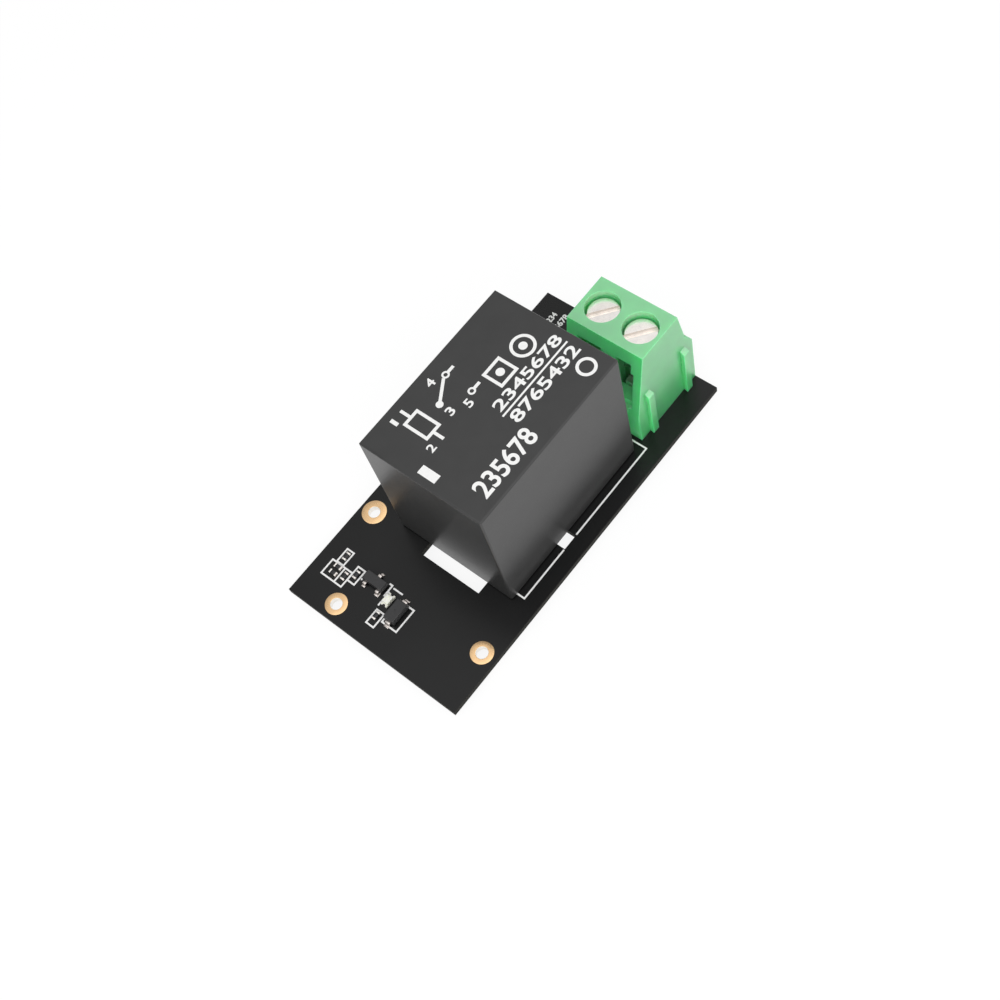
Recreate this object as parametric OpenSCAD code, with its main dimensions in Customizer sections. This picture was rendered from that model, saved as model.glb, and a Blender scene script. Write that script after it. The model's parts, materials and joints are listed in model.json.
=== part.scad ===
// Relay module for a low-voltage controller: a change-over power relay on a thin board,
// with its driver parts and three plated holes at one end and a two-pole screw terminal
// at the other. The long side lies along X, the short side along Y and the top faces up.
// The origin is under the middle of the board, on the plane of the trimmed pin tips.

/* [Board] */
// Length of the board
board_l = 48; // [46:1:60]
// Width of the board
board_w = 25; // [24.5:0.5:34]
// Thickness of the board
board_t = 0.8; // [0.6:0.2:1.6]
// How far the trimmed solder pins stand out below the board
pin_out = 1.8; // [1.4:0.1:3]

/* [Plated holes] */
// Bore of each plated hole
plated_bore = 1.5; // [1:0.1:2]
// Width of the land around the hole beside the relay
land_large = 3; // [2.6:0.1:3.2]
// Width of the lands around the two holes at the board's end
land_small = 2.7; // [2.4:0.1:3]
// Thickness of the plated lands
land_t = 0.05; // [0.03:0.01:0.1]
// Distance of the large hole from the relay's end, along the board
large_hole_setback = 0.68; // [0.2:0.02:1.2]
// Distance of the large hole from the far long edge
large_hole_inset = 1.84; // [1.7:0.02:2]
// Distance of the small hole on the short edge from that edge
edge_hole_x = 1.87; // [1.6:0.01:2.2]
// Distance of the small hole on the short edge from the near long edge
edge_hole_y = 19.14; // [18:0.02:20]
// Distance of the small hole on the long edge from the short edge
side_hole_x = 6.99; // [5:0.01:9]
// Distance of the small hole on the long edge from that edge
side_hole_y = 1.85; // [1.7:0.05:2.4]

/* [Isolation slots] */
// Width of the isolation slots
slot_w = 2; // [1.5:0.1:2.4]
// Length of the slot at the relay's end
end_slot_l = 8.55; // [6:0.05:9]
// Distance of the end slot from the near long edge
end_slot_y = 6.6; // [6:0.1:7]
// How far the end slot stands out past the relay's end
end_slot_out = 1.52; // [1:0.02:2]
// Length of each slot between the coil pins and the contact pins
side_slot_l = 6.2; // [4:0.1:7]
// How far the side slots stand out past the relay's long sides
side_slot_out = 0.95; // [0.5:0.05:1.3]
// Distance of the side slots from the relay's coil end
side_slot_x = 8.15; // [7.6:0.05:8.6]

/* [Relay case] */
// Length of the relay
relay_l = 22.5; // [21.5:0.5:25]
// Width of the relay
relay_w = 16.5; // [16:0.5:19]
// Height of the relay's top over the board
relay_h = 19; // [17.5:0.5:24]
// Gap between the relay and the terminal
relay_gap = 1.48; // [1:0.02:2]
// Distance of the relay from the near long edge
relay_y = 2.93; // [2.4:0.01:3.2]
// Side wall of the case
case_wall = 0.9; // [0.6:0.1:1.1]
// Roof of the case
case_roof = 0.9; // [0.6:0.1:1.2]
// Radius on the outer edges of the case
case_edge_r = 0.25; // [0.1:0.05:0.5]
// Height of the feet that lift the relay off the board
standoff = 0.3; // [0.2:0.1:0.5]
// Thickness of the base plate
base_t = 1.6; // [1.2:0.1:2]

/* [Relay magnet] */
// Thickness of the yoke
yoke_t = 1.5; // [1.2:0.1:1.6]
// Width of the yoke
yoke_w = 9; // [7:0.5:9.6]
// Distance of the yoke's outer face from the relay's end
yoke_setback = 2.75; // [2.6:0.05:3.2]
// Diameter of the core's stem
core_d = 4; // [3.4:0.1:4.6]
// Diameter of the core's pole head
pole_d = 8; // [6.5:0.1:9]
// Thickness of the pole head
pole_t = 1; // [0.8:0.1:1.4]
// Wall of the bobbin's tube
bobbin_wall = 0.65; // [0.5:0.05:0.9]
// Thickness of the bobbin's flanges
flange_t = 1; // [0.8:0.1:1.3]
// Diameter of the coil winding
winding_d = 10.4; // [8.5:0.1:10.6]
// Thickness of the armature
armature_t = 1.2; // [1:0.1:1.4]
// Width of the armature
armature_w = 8.8; // [7:0.2:9.4]

/* [Relay contacts] */
// Distance between the open contacts
contact_gap = 0.9; // [0.5:0.1:1.2]
// Diameter of the contacts
contact_d = 3; // [2.4:0.1:3.2]
// Thickness of each contact head on the leaf
moving_head_t = 0.5; // [0.3:0.1:0.7]
// Thickness of the fixed contact heads
fixed_head_t = 0.6; // [0.4:0.1:0.8]
// Thickness of the contact leaf
leaf_t = 0.25; // [0.15:0.05:0.3]
// Width of the contact leaf over the armature
leaf_w = 6; // [4.8:0.2:6.6]
// Thickness of the hinge spring
spring_t = 0.2; // [0.15:0.05:0.25]
// Thickness of the contact blades
blade_t = 0.4; // [0.3:0.05:0.5]

/* [Relay pins] */
// Width of the power pins
pin_w = 1; // [0.8:0.05:1.05]
// Thickness of the power pins
pin_t = 0.5; // [0.4:0.05:0.6]
// Diameter of the coil pins
coil_pin_d = 0.6; // [0.5:0.05:0.8]
// Distance from the common pin to the coil pins, along the relay
coil_pin_step = 2; // [1.8:0.05:2.2]
// Distance from the common pin to the contact pins, along the relay
contact_pin_step = 14.2; // [14:0.1:14.6]
// Distance of the outer pins from the relay's long sides
pin_inset = 2.25; // [2.1:0.05:2.4]
// Bore of the board under the power pins
pin_hole_d = 1.3; // [1.25:0.05:1.5]
// Bore of the board under the coil pins
coil_hole_d = 1; // [0.9:0.05:1.2]
// Height of the solder joints under the board
solder_h = 1; // [0.6:0.1:1.2]
// Width of the solder ring beyond the hole it fills
solder_ring = 0.35; // [0.25:0.05:0.4]

/* [Screw terminal] */
// Distance from one pole to the next
pole_pitch = 5.08; // [5:0.01:5.3]
// Depth of the terminal, from its back to the board's end
terminal_d = 10.35; // [10.1:0.05:11]
// Height of the terminal
terminal_h = 14.4; // [14:0.1:16]
// Distance of the terminal from the near long edge
terminal_y = 3; // [2.6:0.1:6]
// Height at which the back starts to slope
back_knee_z = 4.75; // [4:0.05:5]
// How far the back slopes in by the top
back_slope = 2.03; // [1.6:0.01:2.1]
// Height of the wire hood on the front
hood_z = 7.62; // [7:0.02:8]
// How far the hood stands out past the front face above it
hood_out = 0.88; // [0.7:0.02:1.1]
// Height at which the hood has blended into the front face
hood_top_z = 10.35; // [9.8:0.05:10.8]
// How far the front face leans in at the hood's top
front_lean = 1.33; // [1.1:0.01:1.5]
// How far the front face has leaned in at the top
front_top_lean = 2.07; // [1.8:0.01:2.2]
// Thickness of the terminal's floor
floor_t = 0.9; // [0.7:0.1:1.1]
// Width of the side ribs
rib_w = 0.95; // [0.8:0.05:1.1]
// How far the side ribs stand out
rib_out = 0.57; // [0.4:0.01:0.65]
// Height of the side ribs at their outer face
rib_h = 7.5; // [6.5:0.1:8]
// Width of the solid edges beside the recess in the back
recess_margin = 1.44; // [1.2:0.02:1.8]
// Depth of the recess in the back
recess_depth = 0.9; // [0.6:0.05:1]
// Height of the solid band over the recess
recess_band = 1.9; // [1.8:0.1:2.4]

/* [Wire clamps] */
// Diameter of the screw heads
head_d = 3.9; // [3.6:0.1:3.9]
// Clearance around the screw heads
head_gap = 0.1; // [0.1:0.05:0.2]
// How far the screw heads lie under the terminal's top
head_recess = 0.97; // [0.5:0.01:1.2]
// Height of the screw heads
head_h = 1.4; // [1.2:0.1:1.6]
// Width of the screwdriver slot
driver_slot_w = 0.65; // [0.5:0.05:0.8]
// Depth of the screwdriver slot
driver_slot_h = 0.7; // [0.5:0.1:0.9]
// Turn of the screwdriver slots as seen from above
driver_slot_turn = -40; // [-90:1:90]
// Diameter of the screw thread
thread_d = 2.4; // [2:0.1:2.4]
// Lift of the clamp for one turn of its screw
thread_pitch = 0.45; // [0.35:0.05:0.45]
// Turns from the open clamp to the closed clamp
clamp_turns = 7; // [4:1:7]
// Outside length of the clamp, along the wire
clamp_l = 3.3; // [3.2:0.1:3.4]
// Outside width of the clamp
clamp_w = 3.5; // [3.4:0.05:3.55]
// Side wall of the clamp
clamp_wall = 0.5; // [0.4:0.05:0.55]
// Thickness of the clamp's jaw under the wire
clamp_jaw_t = 0.7; // [0.5:0.1:0.8]
// Thickness of the threaded top of the clamp
clamp_nut_t = 1.4; // [1.2:0.1:1.5]
// Thickness of the current bar
bar_t = 0.8; // [0.6:0.1:0.9]
// Largest wire that the open clamp lets in
wire_room = 3.6; // [3.2:0.1:3.6]
// Width of the wire entry
entry_w = 3; // [2.4:0.1:3.1]

/* [Driver parts] */
// Length of the chip resistors
chip_l = 1.05; // [0.9:0.05:1.1]
// Width of the chip resistors
chip_w = 0.5; // [0.4:0.05:0.55]
// Height of the chip resistors
chip_h = 0.35; // [0.3:0.05:0.5]
// Length of the chip resistors' end caps
chip_cap = 0.25; // [0.15:0.05:0.3]
// Length of the transistor's body
transistor_l = 2.9; // [2.7:0.05:3]
// Width of the transistor's body
transistor_w = 1.3; // [1.2:0.05:1.5]
// Height of the transistor
transistor_h = 1; // [0.9:0.05:1.2]
// Distance between the transistor's paired leads
transistor_pitch = 1.9; // [1.8:0.02:2]
// Distance across the transistor's leads
transistor_span = 2.5; // [2.3:0.1:2.6]
// Length of the indicator light
light_l = 1.6; // [1.4:0.1:1.8]
// Width of the indicator light
light_w = 0.85; // [0.7:0.05:0.9]
// Height of the indicator light
light_h = 0.6; // [0.5:0.05:0.8]
// Length of the diode's body
diode_l = 2.7; // [2.5:0.05:2.9]
// Width of the diode's body
diode_w = 1.55; // [1.4:0.05:1.8]
// Height of the diode
diode_h = 1.05; // [0.9:0.05:1.3]
// Distance across the diode's leads
diode_span = 3.7; // [3.6:0.05:3.9]
// Thickness of the leads
lead_t = 0.15; // [0.1:0.01:0.2]
// Width of the leads
lead_w = 0.45; // [0.35:0.05:0.6]
// Width of the diode's leads
diode_lead_w = 0.65; // [0.5:0.05:0.8]

/* [Hidden] */
$fn = 48;

// Clearance between pieces that fit into each other
fit = 0.05;
// Clearance of a piece that passes through another with room
pass = 0.15;
// Overrun of a cut past the face it opens
over = 1;

board_top = pin_out + board_t;
pin_tip_z = -board_t - pin_out;

terminal_x = board_l - terminal_d;
relay_x = terminal_x - relay_gap - relay_l;
relay_mid_y = relay_y + relay_w / 2;

// Plated holes as [x, y, land width]
plated = [
    [relay_x - large_hole_setback, board_w - large_hole_inset, land_large],
    [edge_hole_x, edge_hole_y, land_small],
    [side_hole_x, side_hole_y, land_small]
];

// Relay places along the relay, from its coil end, and heights over the board
com_x = yoke_setback - pin_t / 2;
coil_x = com_x + coil_pin_step;
pins_x = com_x + contact_pin_step;
contact_x = pins_x + pin_w / 2 + contact_d / 2 + 0.2;
outer_pin_y = relay_w / 2 - pin_inset;
web_end_x = contact_x + contact_d / 2 - 0.1;
barrier_t = 0.5;
barrier_x = pins_x - pin_w / 2 - 0.2 - barrier_t;
bobbin_x0 = yoke_setback + yoke_t + fit;
bobbin_x1 = barrier_x - 0.1;
core_x = (bobbin_x0 + bobbin_x1) / 2;
base_top = standoff + base_t;
yoke_floor = base_top + yoke_t;
case_inner_top = relay_h - case_roof;
roof_room = 0.7;
leaf_air = 0.05;
pole_z = case_inner_top - roof_room - blade_t - fixed_head_t - contact_gap
    - 2 * moving_head_t - leaf_t - armature_t - leaf_air + moving_head_t;
armature_z = pole_z + leaf_air;
leaf_z = armature_z + armature_t;
lever = contact_x - yoke_setback;
open_angle = asin(contact_gap / lever);
no_face_z = leaf_z - moving_head_t - leaf_air;
nc_face_z = leaf_z + leaf_t + moving_head_t + contact_gap
    + contact_d / 2 * sin(open_angle) + leaf_air;
upper_flange_z = pole_z - pole_t - flange_t;
lower_flange_z = yoke_floor;
cavity_half = relay_w / 2 - case_wall;
rivet_d = 0.7;
rivet_head_d = 1.3;
rivet_head_t = 0.35;
com_blade_h = 4.2;
com_blade_w = 2.4;
spring_w = 5.2;
spring_low_z = base_top + com_blade_h + 0.4;
spring_rivet_y = [-1.4, 1.4];
spring_rivet_z = pole_z - 3.6;
coil_post_h = 0.8;
leaf_x0 = yoke_setback + 1.9;
leaf_rivets_at = [[leaf_x0 + 2.4, -1.7], [leaf_x0 + 2.4, 1.7]];

// Terminal places from its back and heights over the board
terminal_w = 2 * pole_pitch;
screw_x = 5.13;
poles = [pole_pitch / 2, pole_pitch * 3 / 2];
clamp_low_z = floor_t + 0.3;
bar_z = clamp_low_z + clamp_jaw_t + wire_room;
clamp_h = clamp_jaw_t + wire_room + bar_t + 0.1 + clamp_nut_t;
clamp_travel = clamp_turns * thread_pitch;
head_z = terminal_h - head_recess - head_h;
ledge_z = head_z - 0.6;
leg_t = 0.7;
leg_x = screw_x - clamp_l / 2 - pass - leg_t;
chamber_x0 = leg_x - fit;
chamber_x1 = screw_x + clamp_l / 2 + 0.95;
chamber_w = clamp_w + 2 * 0.1;
bar_w = clamp_w - 2 * clamp_wall - 2 * pass;
bar_pin_w = 0.9;
bar_pin_t = 0.6;
entry_low_z = clamp_low_z + clamp_jaw_t + 0.1;
entry_top_z = bar_z - 0.15;
entry_flare = 0.5;
rib_x = [1.52, 8.06];
rib_undercut = 0.08;
rib_slope = 0.4;

// Pins that pass through the board as [x, y, size along x, size along y, hole]
power_pins = [
    [relay_x + com_x, relay_mid_y, pin_t, pin_w, pin_hole_d],
    [relay_x + pins_x, relay_mid_y - outer_pin_y, pin_w, pin_t, pin_hole_d],
    [relay_x + pins_x, relay_mid_y + outer_pin_y, pin_w, pin_t, pin_hole_d],
    [terminal_x + leg_x + leg_t / 2, terminal_y + poles[0], bar_pin_t, bar_pin_w, pin_hole_d],
    [terminal_x + leg_x + leg_t / 2, terminal_y + poles[1], bar_pin_t, bar_pin_w, pin_hole_d]
];
coil_pins_at = [
    [relay_x + coil_x, relay_mid_y - outer_pin_y],
    [relay_x + coil_x, relay_mid_y + outer_pin_y]
];

// Chip resistors as [x, y, turn]
chips = [
    [4.48, 21.95, 90],
    [5.34, 21.95, 90],
    [6.87, 22.05, 0],
    [4.9, 20.57, 0],
    [5.82, 19.52, 0],
    [3.42, 14.36, 0]
];
transistor_at = [6.42, 17];
light_at = [5.6, 14.42];
diode_at = [5, 12.57];
// Gap under the moulded bodies
body_lift = 0.08;
light_base_h = 0.25;
light_notch = 0.2;

// Places on the board count from its corner and from its top face
module on_board() {
    translate([-board_l / 2, -board_w / 2, board_top]) children();
}

// Places in the relay count from the middle of its coil end, at the board's top face
module on_relay() {
    on_board() translate([relay_x, relay_mid_y, 0]) children();
}

// Places in the terminal count from its back corner, at the board's top face
module on_terminal() {
    on_board() translate([terminal_x, terminal_y, 0]) children();
}

// Box between two heights, centred on y = 0
module slab(x0, x1, w, z0, z1) {
    translate([x0, -w / 2, z0]) cube([x1 - x0, w, z1 - z0]);
}

// Box centred on a point in plan, between two heights
module post(size_x, size_y, z0, z1) {
    translate([-size_x / 2, -size_y / 2, z0]) cube([size_x, size_y, z1 - z0]);
}

// Rectangle with round corners, from the origin
module round_rect(l, w, r) {
    translate([r, 0]) square([l - 2 * r, w]);
    translate([0, r]) square([l, w - 2 * r]);
    for (x = [r, l - r], y = [r, w - r]) translate([x, y]) circle(r);
}

// Box with its four upright edges and its top edges rounded
module case_block(l, w, h, r) {
    intersection() {
        linear_extrude(h) round_rect(l, w, r);
        translate([0, w, 0]) rotate([90, 0, 0]) linear_extrude(w)
            translate([0, -h]) round_rect(l, 2 * h, r);
        rotate([90, 0, 90]) linear_extrude(l) translate([0, -h]) round_rect(w, 2 * h, r);
    }
}

// Strip bent to an L in the XZ plane with a round outer bend at the lower left
module bent_strip(foot_l, leg_h, t, w, r) {
    translate([0, w / 2, 0]) rotate([90, 0, 0]) linear_extrude(w) difference() {
        union() {
            square([foot_l, t]);
            square([t, leg_h]);
        }
        difference() {
            square(r);
            translate([r, r]) circle(r);
        }
    }
}

// Concave solder cone under the board around a pin, open for the pin
module solder_cone(hole_d, size_x, size_y) {
    top_r = hole_d / 2 + solder_ring;
    tip_r = norm([size_x, size_y]) / 2 + 0.06;
    steps = 6;
    flare = [for (i = [0:steps]) let (a = 90 * i / steps)
        [top_r - (top_r - tip_r) * sin(a), -board_t - solder_h * (1 - cos(a))]];
    difference() {
        rotate_extrude() polygon(concat([[0, -board_t]], flare, [[0, -board_t - solder_h]]));
        post(size_x, size_y, pin_tip_z - over, over);
    }
}

module circuit_board() {
    color([0.1, 0.1, 0.1]) on_board() difference() {
        translate([0, 0, -board_t]) cube([board_l, board_w, board_t]);
        for (hole = plated) {
            translate([hole[0], hole[1], -board_t - over])
                cylinder(d = plated_bore, h = board_t + 2 * over);
        }
        for (pin = power_pins) {
            translate([pin[0], pin[1], -board_t - over]) cylinder(d = pin[4], h = board_t + 2 * over);
        }
        for (pin = coil_pins_at) {
            translate([pin[0], pin[1], -board_t - over])
                cylinder(d = coil_hole_d, h = board_t + 2 * over);
        }
        translate([relay_x - end_slot_out, end_slot_y, -board_t - over])
            cube([slot_w, end_slot_l, board_t + 2 * over]);
        for (side = [-1, 1]) {
            translate([relay_x + side_slot_x + slot_w / 2,
                relay_mid_y + side * (relay_w / 2 + side_slot_out - side_slot_l / 2), 0])
                post(slot_w, side_slot_l, -board_t - over, over);
        }
    }
}

// Ring lands on both faces of the board around the plated holes
module hole_lands() {
    color([0.85, 0.7, 0.5]) on_board() for (hole = plated, low = [0, -board_t - land_t]) {
        translate([hole[0], hole[1], low]) difference() {
            cylinder(d = hole[2], h = land_t);
            translate([0, 0, -over]) cylinder(d = plated_bore, h = land_t + 2 * over);
        }
    }
}

module solder_joints() {
    color([0.75, 0.75, 0.77]) on_board() {
        for (pin = power_pins) {
            translate([pin[0], pin[1], 0]) solder_cone(pin[4], pin[2], pin[3]);
        }
        for (pin = coil_pins_at) {
            translate([pin[0], pin[1], 0]) solder_cone(coil_hole_d, coil_pin_d, coil_pin_d);
        }
    }
}

module relay_case() {
    color([0.28, 0.28, 0.28]) on_relay() difference() {
        translate([0, -relay_w / 2, standoff])
            case_block(relay_l, relay_w, relay_h - standoff, case_edge_r);
        slab(case_wall, relay_l - case_wall, relay_w - 2 * case_wall, standoff - over, case_inner_top);
    }
}

module relay_base() {
    inner_half = cavity_half - fit;
    rib_t = 0.6;
    rib_y = yoke_w / 2 + fit;
    tower_x1 = min(web_end_x + 0.6, relay_l - case_wall - fit);
    tower_h = 3.2;
    tower_w = pin_t + 2 * 0.7;
    color([0.2, 0.2, 0.2]) on_relay() difference() {
        union() {
            slab(case_wall + fit, relay_l - case_wall - fit, 2 * inner_half, standoff, base_top);
            for (x = [case_wall + 1.2, relay_l - case_wall - 1.2], y = [-1, 1]) {
                translate([x, y * (inner_half - 1), 0]) cylinder(d = 1.6, h = standoff);
            }
            // Wall between the coil and the contacts
            slab(barrier_x, barrier_x + barrier_t, 2 * inner_half, base_top, pole_z - 2);
            // Ribs that hold the yoke's foot from both sides
            for (y = [-rib_y - rib_t, rib_y]) {
                translate([bobbin_x0 + 2, y, base_top]) cube([6, rib_t, yoke_t - 0.2]);
            }
            // Towers around the contact blades
            for (side = [-1, 1]) {
                translate([0, side * outer_pin_y, 0])
                    slab(barrier_x + barrier_t, tower_x1, tower_w, base_top, base_top + tower_h);
            }
        }
        translate([com_x, 0, 0]) post(pin_t + 2 * fit, pin_w + 2 * fit, 0, base_top + over);
        for (side = [-1, 1]) {
            translate([coil_x, side * outer_pin_y, 0])
                cylinder(d = coil_pin_d + 2 * fit, h = base_top + over);
            translate([pins_x, side * outer_pin_y, 0])
                post(pin_w + 2 * fit, pin_t + 2 * fit, 0, base_top + over);
            translate([0, side * outer_pin_y, 0])
                slab(pins_x - pin_w / 2 - fit, web_end_x + fit, pin_t + 2 * fit,
                    base_top, base_top + tower_h + over);
        }
    }
}

module coil_bobbin() {
    bore = core_d + 2 * fit;
    flange_w = 2 * cavity_half - 1;
    lobe = 1.7;
    color([0.9, 0.88, 0.82]) on_relay() difference() {
        union() {
            slab(bobbin_x0, bobbin_x1, flange_w, lower_flange_z, lower_flange_z + flange_t);
            slab(bobbin_x0, bobbin_x1, flange_w, upper_flange_z, upper_flange_z + flange_t);
            translate([core_x, 0, lower_flange_z])
                cylinder(d = bore + 2 * bobbin_wall, h = upper_flange_z - lower_flange_z);
            for (side = [-1, 1]) {
                translate([coil_x, side * (outer_pin_y - 0.1), 0])
                    post(lobe + 0.4, lobe, lower_flange_z, lower_flange_z + flange_t);
            }
        }
        translate([core_x, 0, lower_flange_z - over])
            cylinder(d = bore, h = upper_flange_z + flange_t - lower_flange_z + 2 * over);
        for (side = [-1, 1]) {
            translate([coil_x, side * outer_pin_y, lower_flange_z - over])
                cylinder(d = coil_pin_d + 2 * fit, h = flange_t + 2 * over);
        }
    }
}

module coil_winding() {
    color([0.72, 0.35, 0.15]) on_relay() translate([core_x, 0, 0]) difference() {
        translate([0, 0, lower_flange_z + flange_t + fit])
            cylinder(d = winding_d, h = upper_flange_z - lower_flange_z - flange_t - 2 * fit);
        translate([0, 0, lower_flange_z])
            cylinder(d = core_d + 2 * bobbin_wall + 4 * fit, h = upper_flange_z);
    }
}

module iron_core() {
    tail_d = core_d - 1;
    color([0.6, 0.6, 0.62]) on_relay() translate([core_x, 0, 0]) rotate_extrude() polygon([
        [0, base_top],
        [tail_d / 2, base_top],
        [tail_d / 2, yoke_floor],
        [core_d / 2, yoke_floor],
        [core_d / 2, pole_z - pole_t],
        [pole_d / 2, pole_z - pole_t],
        [pole_d / 2, pole_z - 0.15],
        [pole_d / 2 - 0.15, pole_z],
        [0, pole_z]
    ]);
}

module yoke() {
    color([0.58, 0.58, 0.6]) on_relay() difference() {
        translate([yoke_setback, 0, base_top])
            bent_strip(core_x + core_d / 2 + 1.4 - yoke_setback, pole_z - base_top, yoke_t, yoke_w, 1.2);
        translate([core_x, 0, base_top - over]) cylinder(d = core_d - 1 + 2 * fit, h = yoke_t + 2 * over);
        for (y = spring_rivet_y) {
            translate([yoke_setback - over, y, spring_rivet_z]) rotate([0, 90, 0])
                cylinder(d = rivet_d + 2 * fit, h = yoke_t + 2 * over);
        }
    }
}

module coil_pins() {
    color([0.8, 0.8, 0.82]) on_relay() for (side = [-1, 1]) {
        translate([coil_x, side * outer_pin_y, pin_tip_z])
            cylinder(d = coil_pin_d, h = lower_flange_z + flange_t + coil_post_h - pin_tip_z);
    }
}

module com_terminal() {
    color([0.8, 0.6, 0.4]) on_relay() translate([com_x, 0, 0]) {
        post(pin_t, pin_w, pin_tip_z, base_top);
        post(pin_t, com_blade_w, base_top, base_top + com_blade_h);
    }
}

module hinge_spring() {
    top_z = leaf_z + 0.2;
    over_l = 1.4;
    color([0.75, 0.55, 0.35]) on_relay() difference() {
        translate([yoke_setback - spring_t, 0, top_z + spring_t]) mirror([0, 0, 1])
            bent_strip(over_l + spring_t, top_z + spring_t - spring_low_z, spring_t, spring_w, spring_t);
        for (y = spring_rivet_y) {
            translate([0, y, spring_rivet_z]) rotate([0, 90, 0])
                cylinder(d = rivet_d + 2 * fit, h = yoke_setback + over);
        }
    }
}

module spring_rivets() {
    color([0.65, 0.65, 0.67]) on_relay() for (y = spring_rivet_y) {
        translate([0, y, spring_rivet_z]) rotate([0, 90, 0]) {
            translate([0, 0, yoke_setback - spring_t - rivet_head_t])
                cylinder(d = rivet_head_d, h = rivet_head_t);
            translate([0, 0, yoke_setback - spring_t - fit]) cylinder(d = rivet_d, h = spring_t + yoke_t);
        }
    }
}

// Pieces of the armature are drawn pulled in and then lifted to the released position
module released() {
    on_relay() translate([yoke_setback, 0, pole_z]) rotate([0, -open_angle, 0])
        translate([-yoke_setback, 0, -pole_z]) children();
}

module armature() {
    x0 = yoke_setback + 0.15;
    x1 = barrier_x - 0.2;
    half = armature_w / 2;
    corner = 1.4;
    color([0.62, 0.62, 0.64]) released() difference() {
        translate([0, 0, armature_z]) linear_extrude(armature_t) polygon([
            [x0, -half],
            [x1 - corner, -half],
            [x1, -half + corner],
            [x1, half - corner],
            [x1 - corner, half],
            [x0, half]
        ]);
        for (at = leaf_rivets_at) {
            translate([at[0], at[1], armature_z - over])
                cylinder(d = rivet_d + 2 * fit, h = armature_t + 2 * over);
        }
    }
}

module contact_leaf() {
    neck_x = barrier_x + 0.6;
    tip_w = contact_d + 0.8;
    color([0.78, 0.58, 0.38]) released() difference() {
        translate([0, 0, leaf_z]) linear_extrude(leaf_t) union() {
            translate([leaf_x0, -leaf_w / 2]) square([neck_x - 2 - leaf_x0, leaf_w]);
            polygon([
                [neck_x - 2, -leaf_w / 2],
                [neck_x, -tip_w / 2],
                [neck_x, tip_w / 2],
                [neck_x - 2, leaf_w / 2]
            ]);
            translate([neck_x, -tip_w / 2]) square([contact_x - neck_x, tip_w]);
            translate([contact_x, 0]) circle(d = tip_w);
        }
        for (at = leaf_rivets_at) {
            translate([at[0], at[1], leaf_z - over]) cylinder(d = rivet_d + 2 * fit, h = leaf_t + 2 * over);
        }
        translate([contact_x, 0, leaf_z - over])
            cylinder(d = contact_d / 2 + 2 * fit, h = leaf_t + 2 * over);
    }
}

module leaf_rivets() {
    color([0.65, 0.65, 0.67]) released() for (at = leaf_rivets_at) {
        translate([at[0], at[1], 0]) {
            translate([0, 0, armature_z + 0.1]) cylinder(d = rivet_d, h = armature_t + leaf_t);
            translate([0, 0, leaf_z + leaf_t]) cylinder(d = rivet_head_d, h = rivet_head_t);
        }
    }
}

// Contact rivet with a chamfered head below z = 0 and a stem above it
module contact_button(head_t, stem_h) {
    r = contact_d / 2;
    bevel = head_t / 3;
    rotate_extrude() polygon([
        [0, -head_t],
        [r - bevel, -head_t],
        [r, -head_t + bevel],
        [r, 0],
        [r / 2, 0],
        [r / 2, stem_h],
        [0, stem_h]
    ]);
}

module moving_contact() {
    color([0.85, 0.85, 0.87]) released() translate([contact_x, 0, 0]) {
        translate([0, 0, leaf_z]) contact_button(moving_head_t, leaf_t);
        translate([0, 0, leaf_z + leaf_t]) mirror([0, 0, 1]) contact_button(moving_head_t, 0.1);
    }
}

// Fixed contact blade: a pin, an upright web on one side and a tongue over to the contact
module contact_blade(side, tongue_z) {
    tongue_end = contact_d / 2 + 0.4;
    difference() {
        union() {
            translate([pins_x, side * outer_pin_y, 0]) post(pin_w, pin_t, pin_tip_z, base_top);
            translate([0, side * outer_pin_y, 0])
                slab(pins_x - pin_w / 2, web_end_x, pin_t, base_top, tongue_z + blade_t);
            tongue_w = outer_pin_y + pin_t / 2 + tongue_end;
            translate([0, side * (outer_pin_y + pin_t / 2 - tongue_w / 2), 0])
                slab(contact_x - contact_d / 2, web_end_x, tongue_w, tongue_z, tongue_z + blade_t);
        }
        translate([contact_x, 0, tongue_z - over])
            cylinder(d = contact_d / 2 + 2 * fit, h = blade_t + 2 * over);
    }
}

module no_terminal() {
    color([0.8, 0.6, 0.4]) on_relay() contact_blade(-1, no_face_z - fixed_head_t - blade_t);
}

module nc_terminal() {
    color([0.8, 0.6, 0.4]) on_relay() contact_blade(1, nc_face_z + fixed_head_t);
}

module no_contact() {
    color([0.85, 0.85, 0.87]) on_relay() translate([contact_x, 0, no_face_z - fixed_head_t])
        mirror([0, 0, 1]) contact_button(fixed_head_t, blade_t);
}

module nc_contact() {
    color([0.85, 0.85, 0.87]) on_relay() translate([contact_x, 0, nc_face_z + fixed_head_t])
        contact_button(fixed_head_t, blade_t);
}

// Side outline of the terminal: upright lower back, sloped upper back, flat top,
// leaning front and a hood over the wire entries that blends in along an arc
module terminal_outline() {
    hood_x = terminal_d - hood_out;
    blend = [for (i = [0:5]) let (t = i / 5)
        [hood_x + (terminal_d - front_lean - hood_x) * sin(90 * t),
            hood_z + 1.63 + (hood_top_z - hood_z - 1.63) * (1 - cos(90 * t))]];
    polygon(concat(
        [[0, 0], [terminal_d, 0], [terminal_d, hood_z]],
        blend,
        [[terminal_d - front_top_lean, terminal_h], [back_slope, terminal_h], [0, back_knee_z]]
    ));
}

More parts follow.
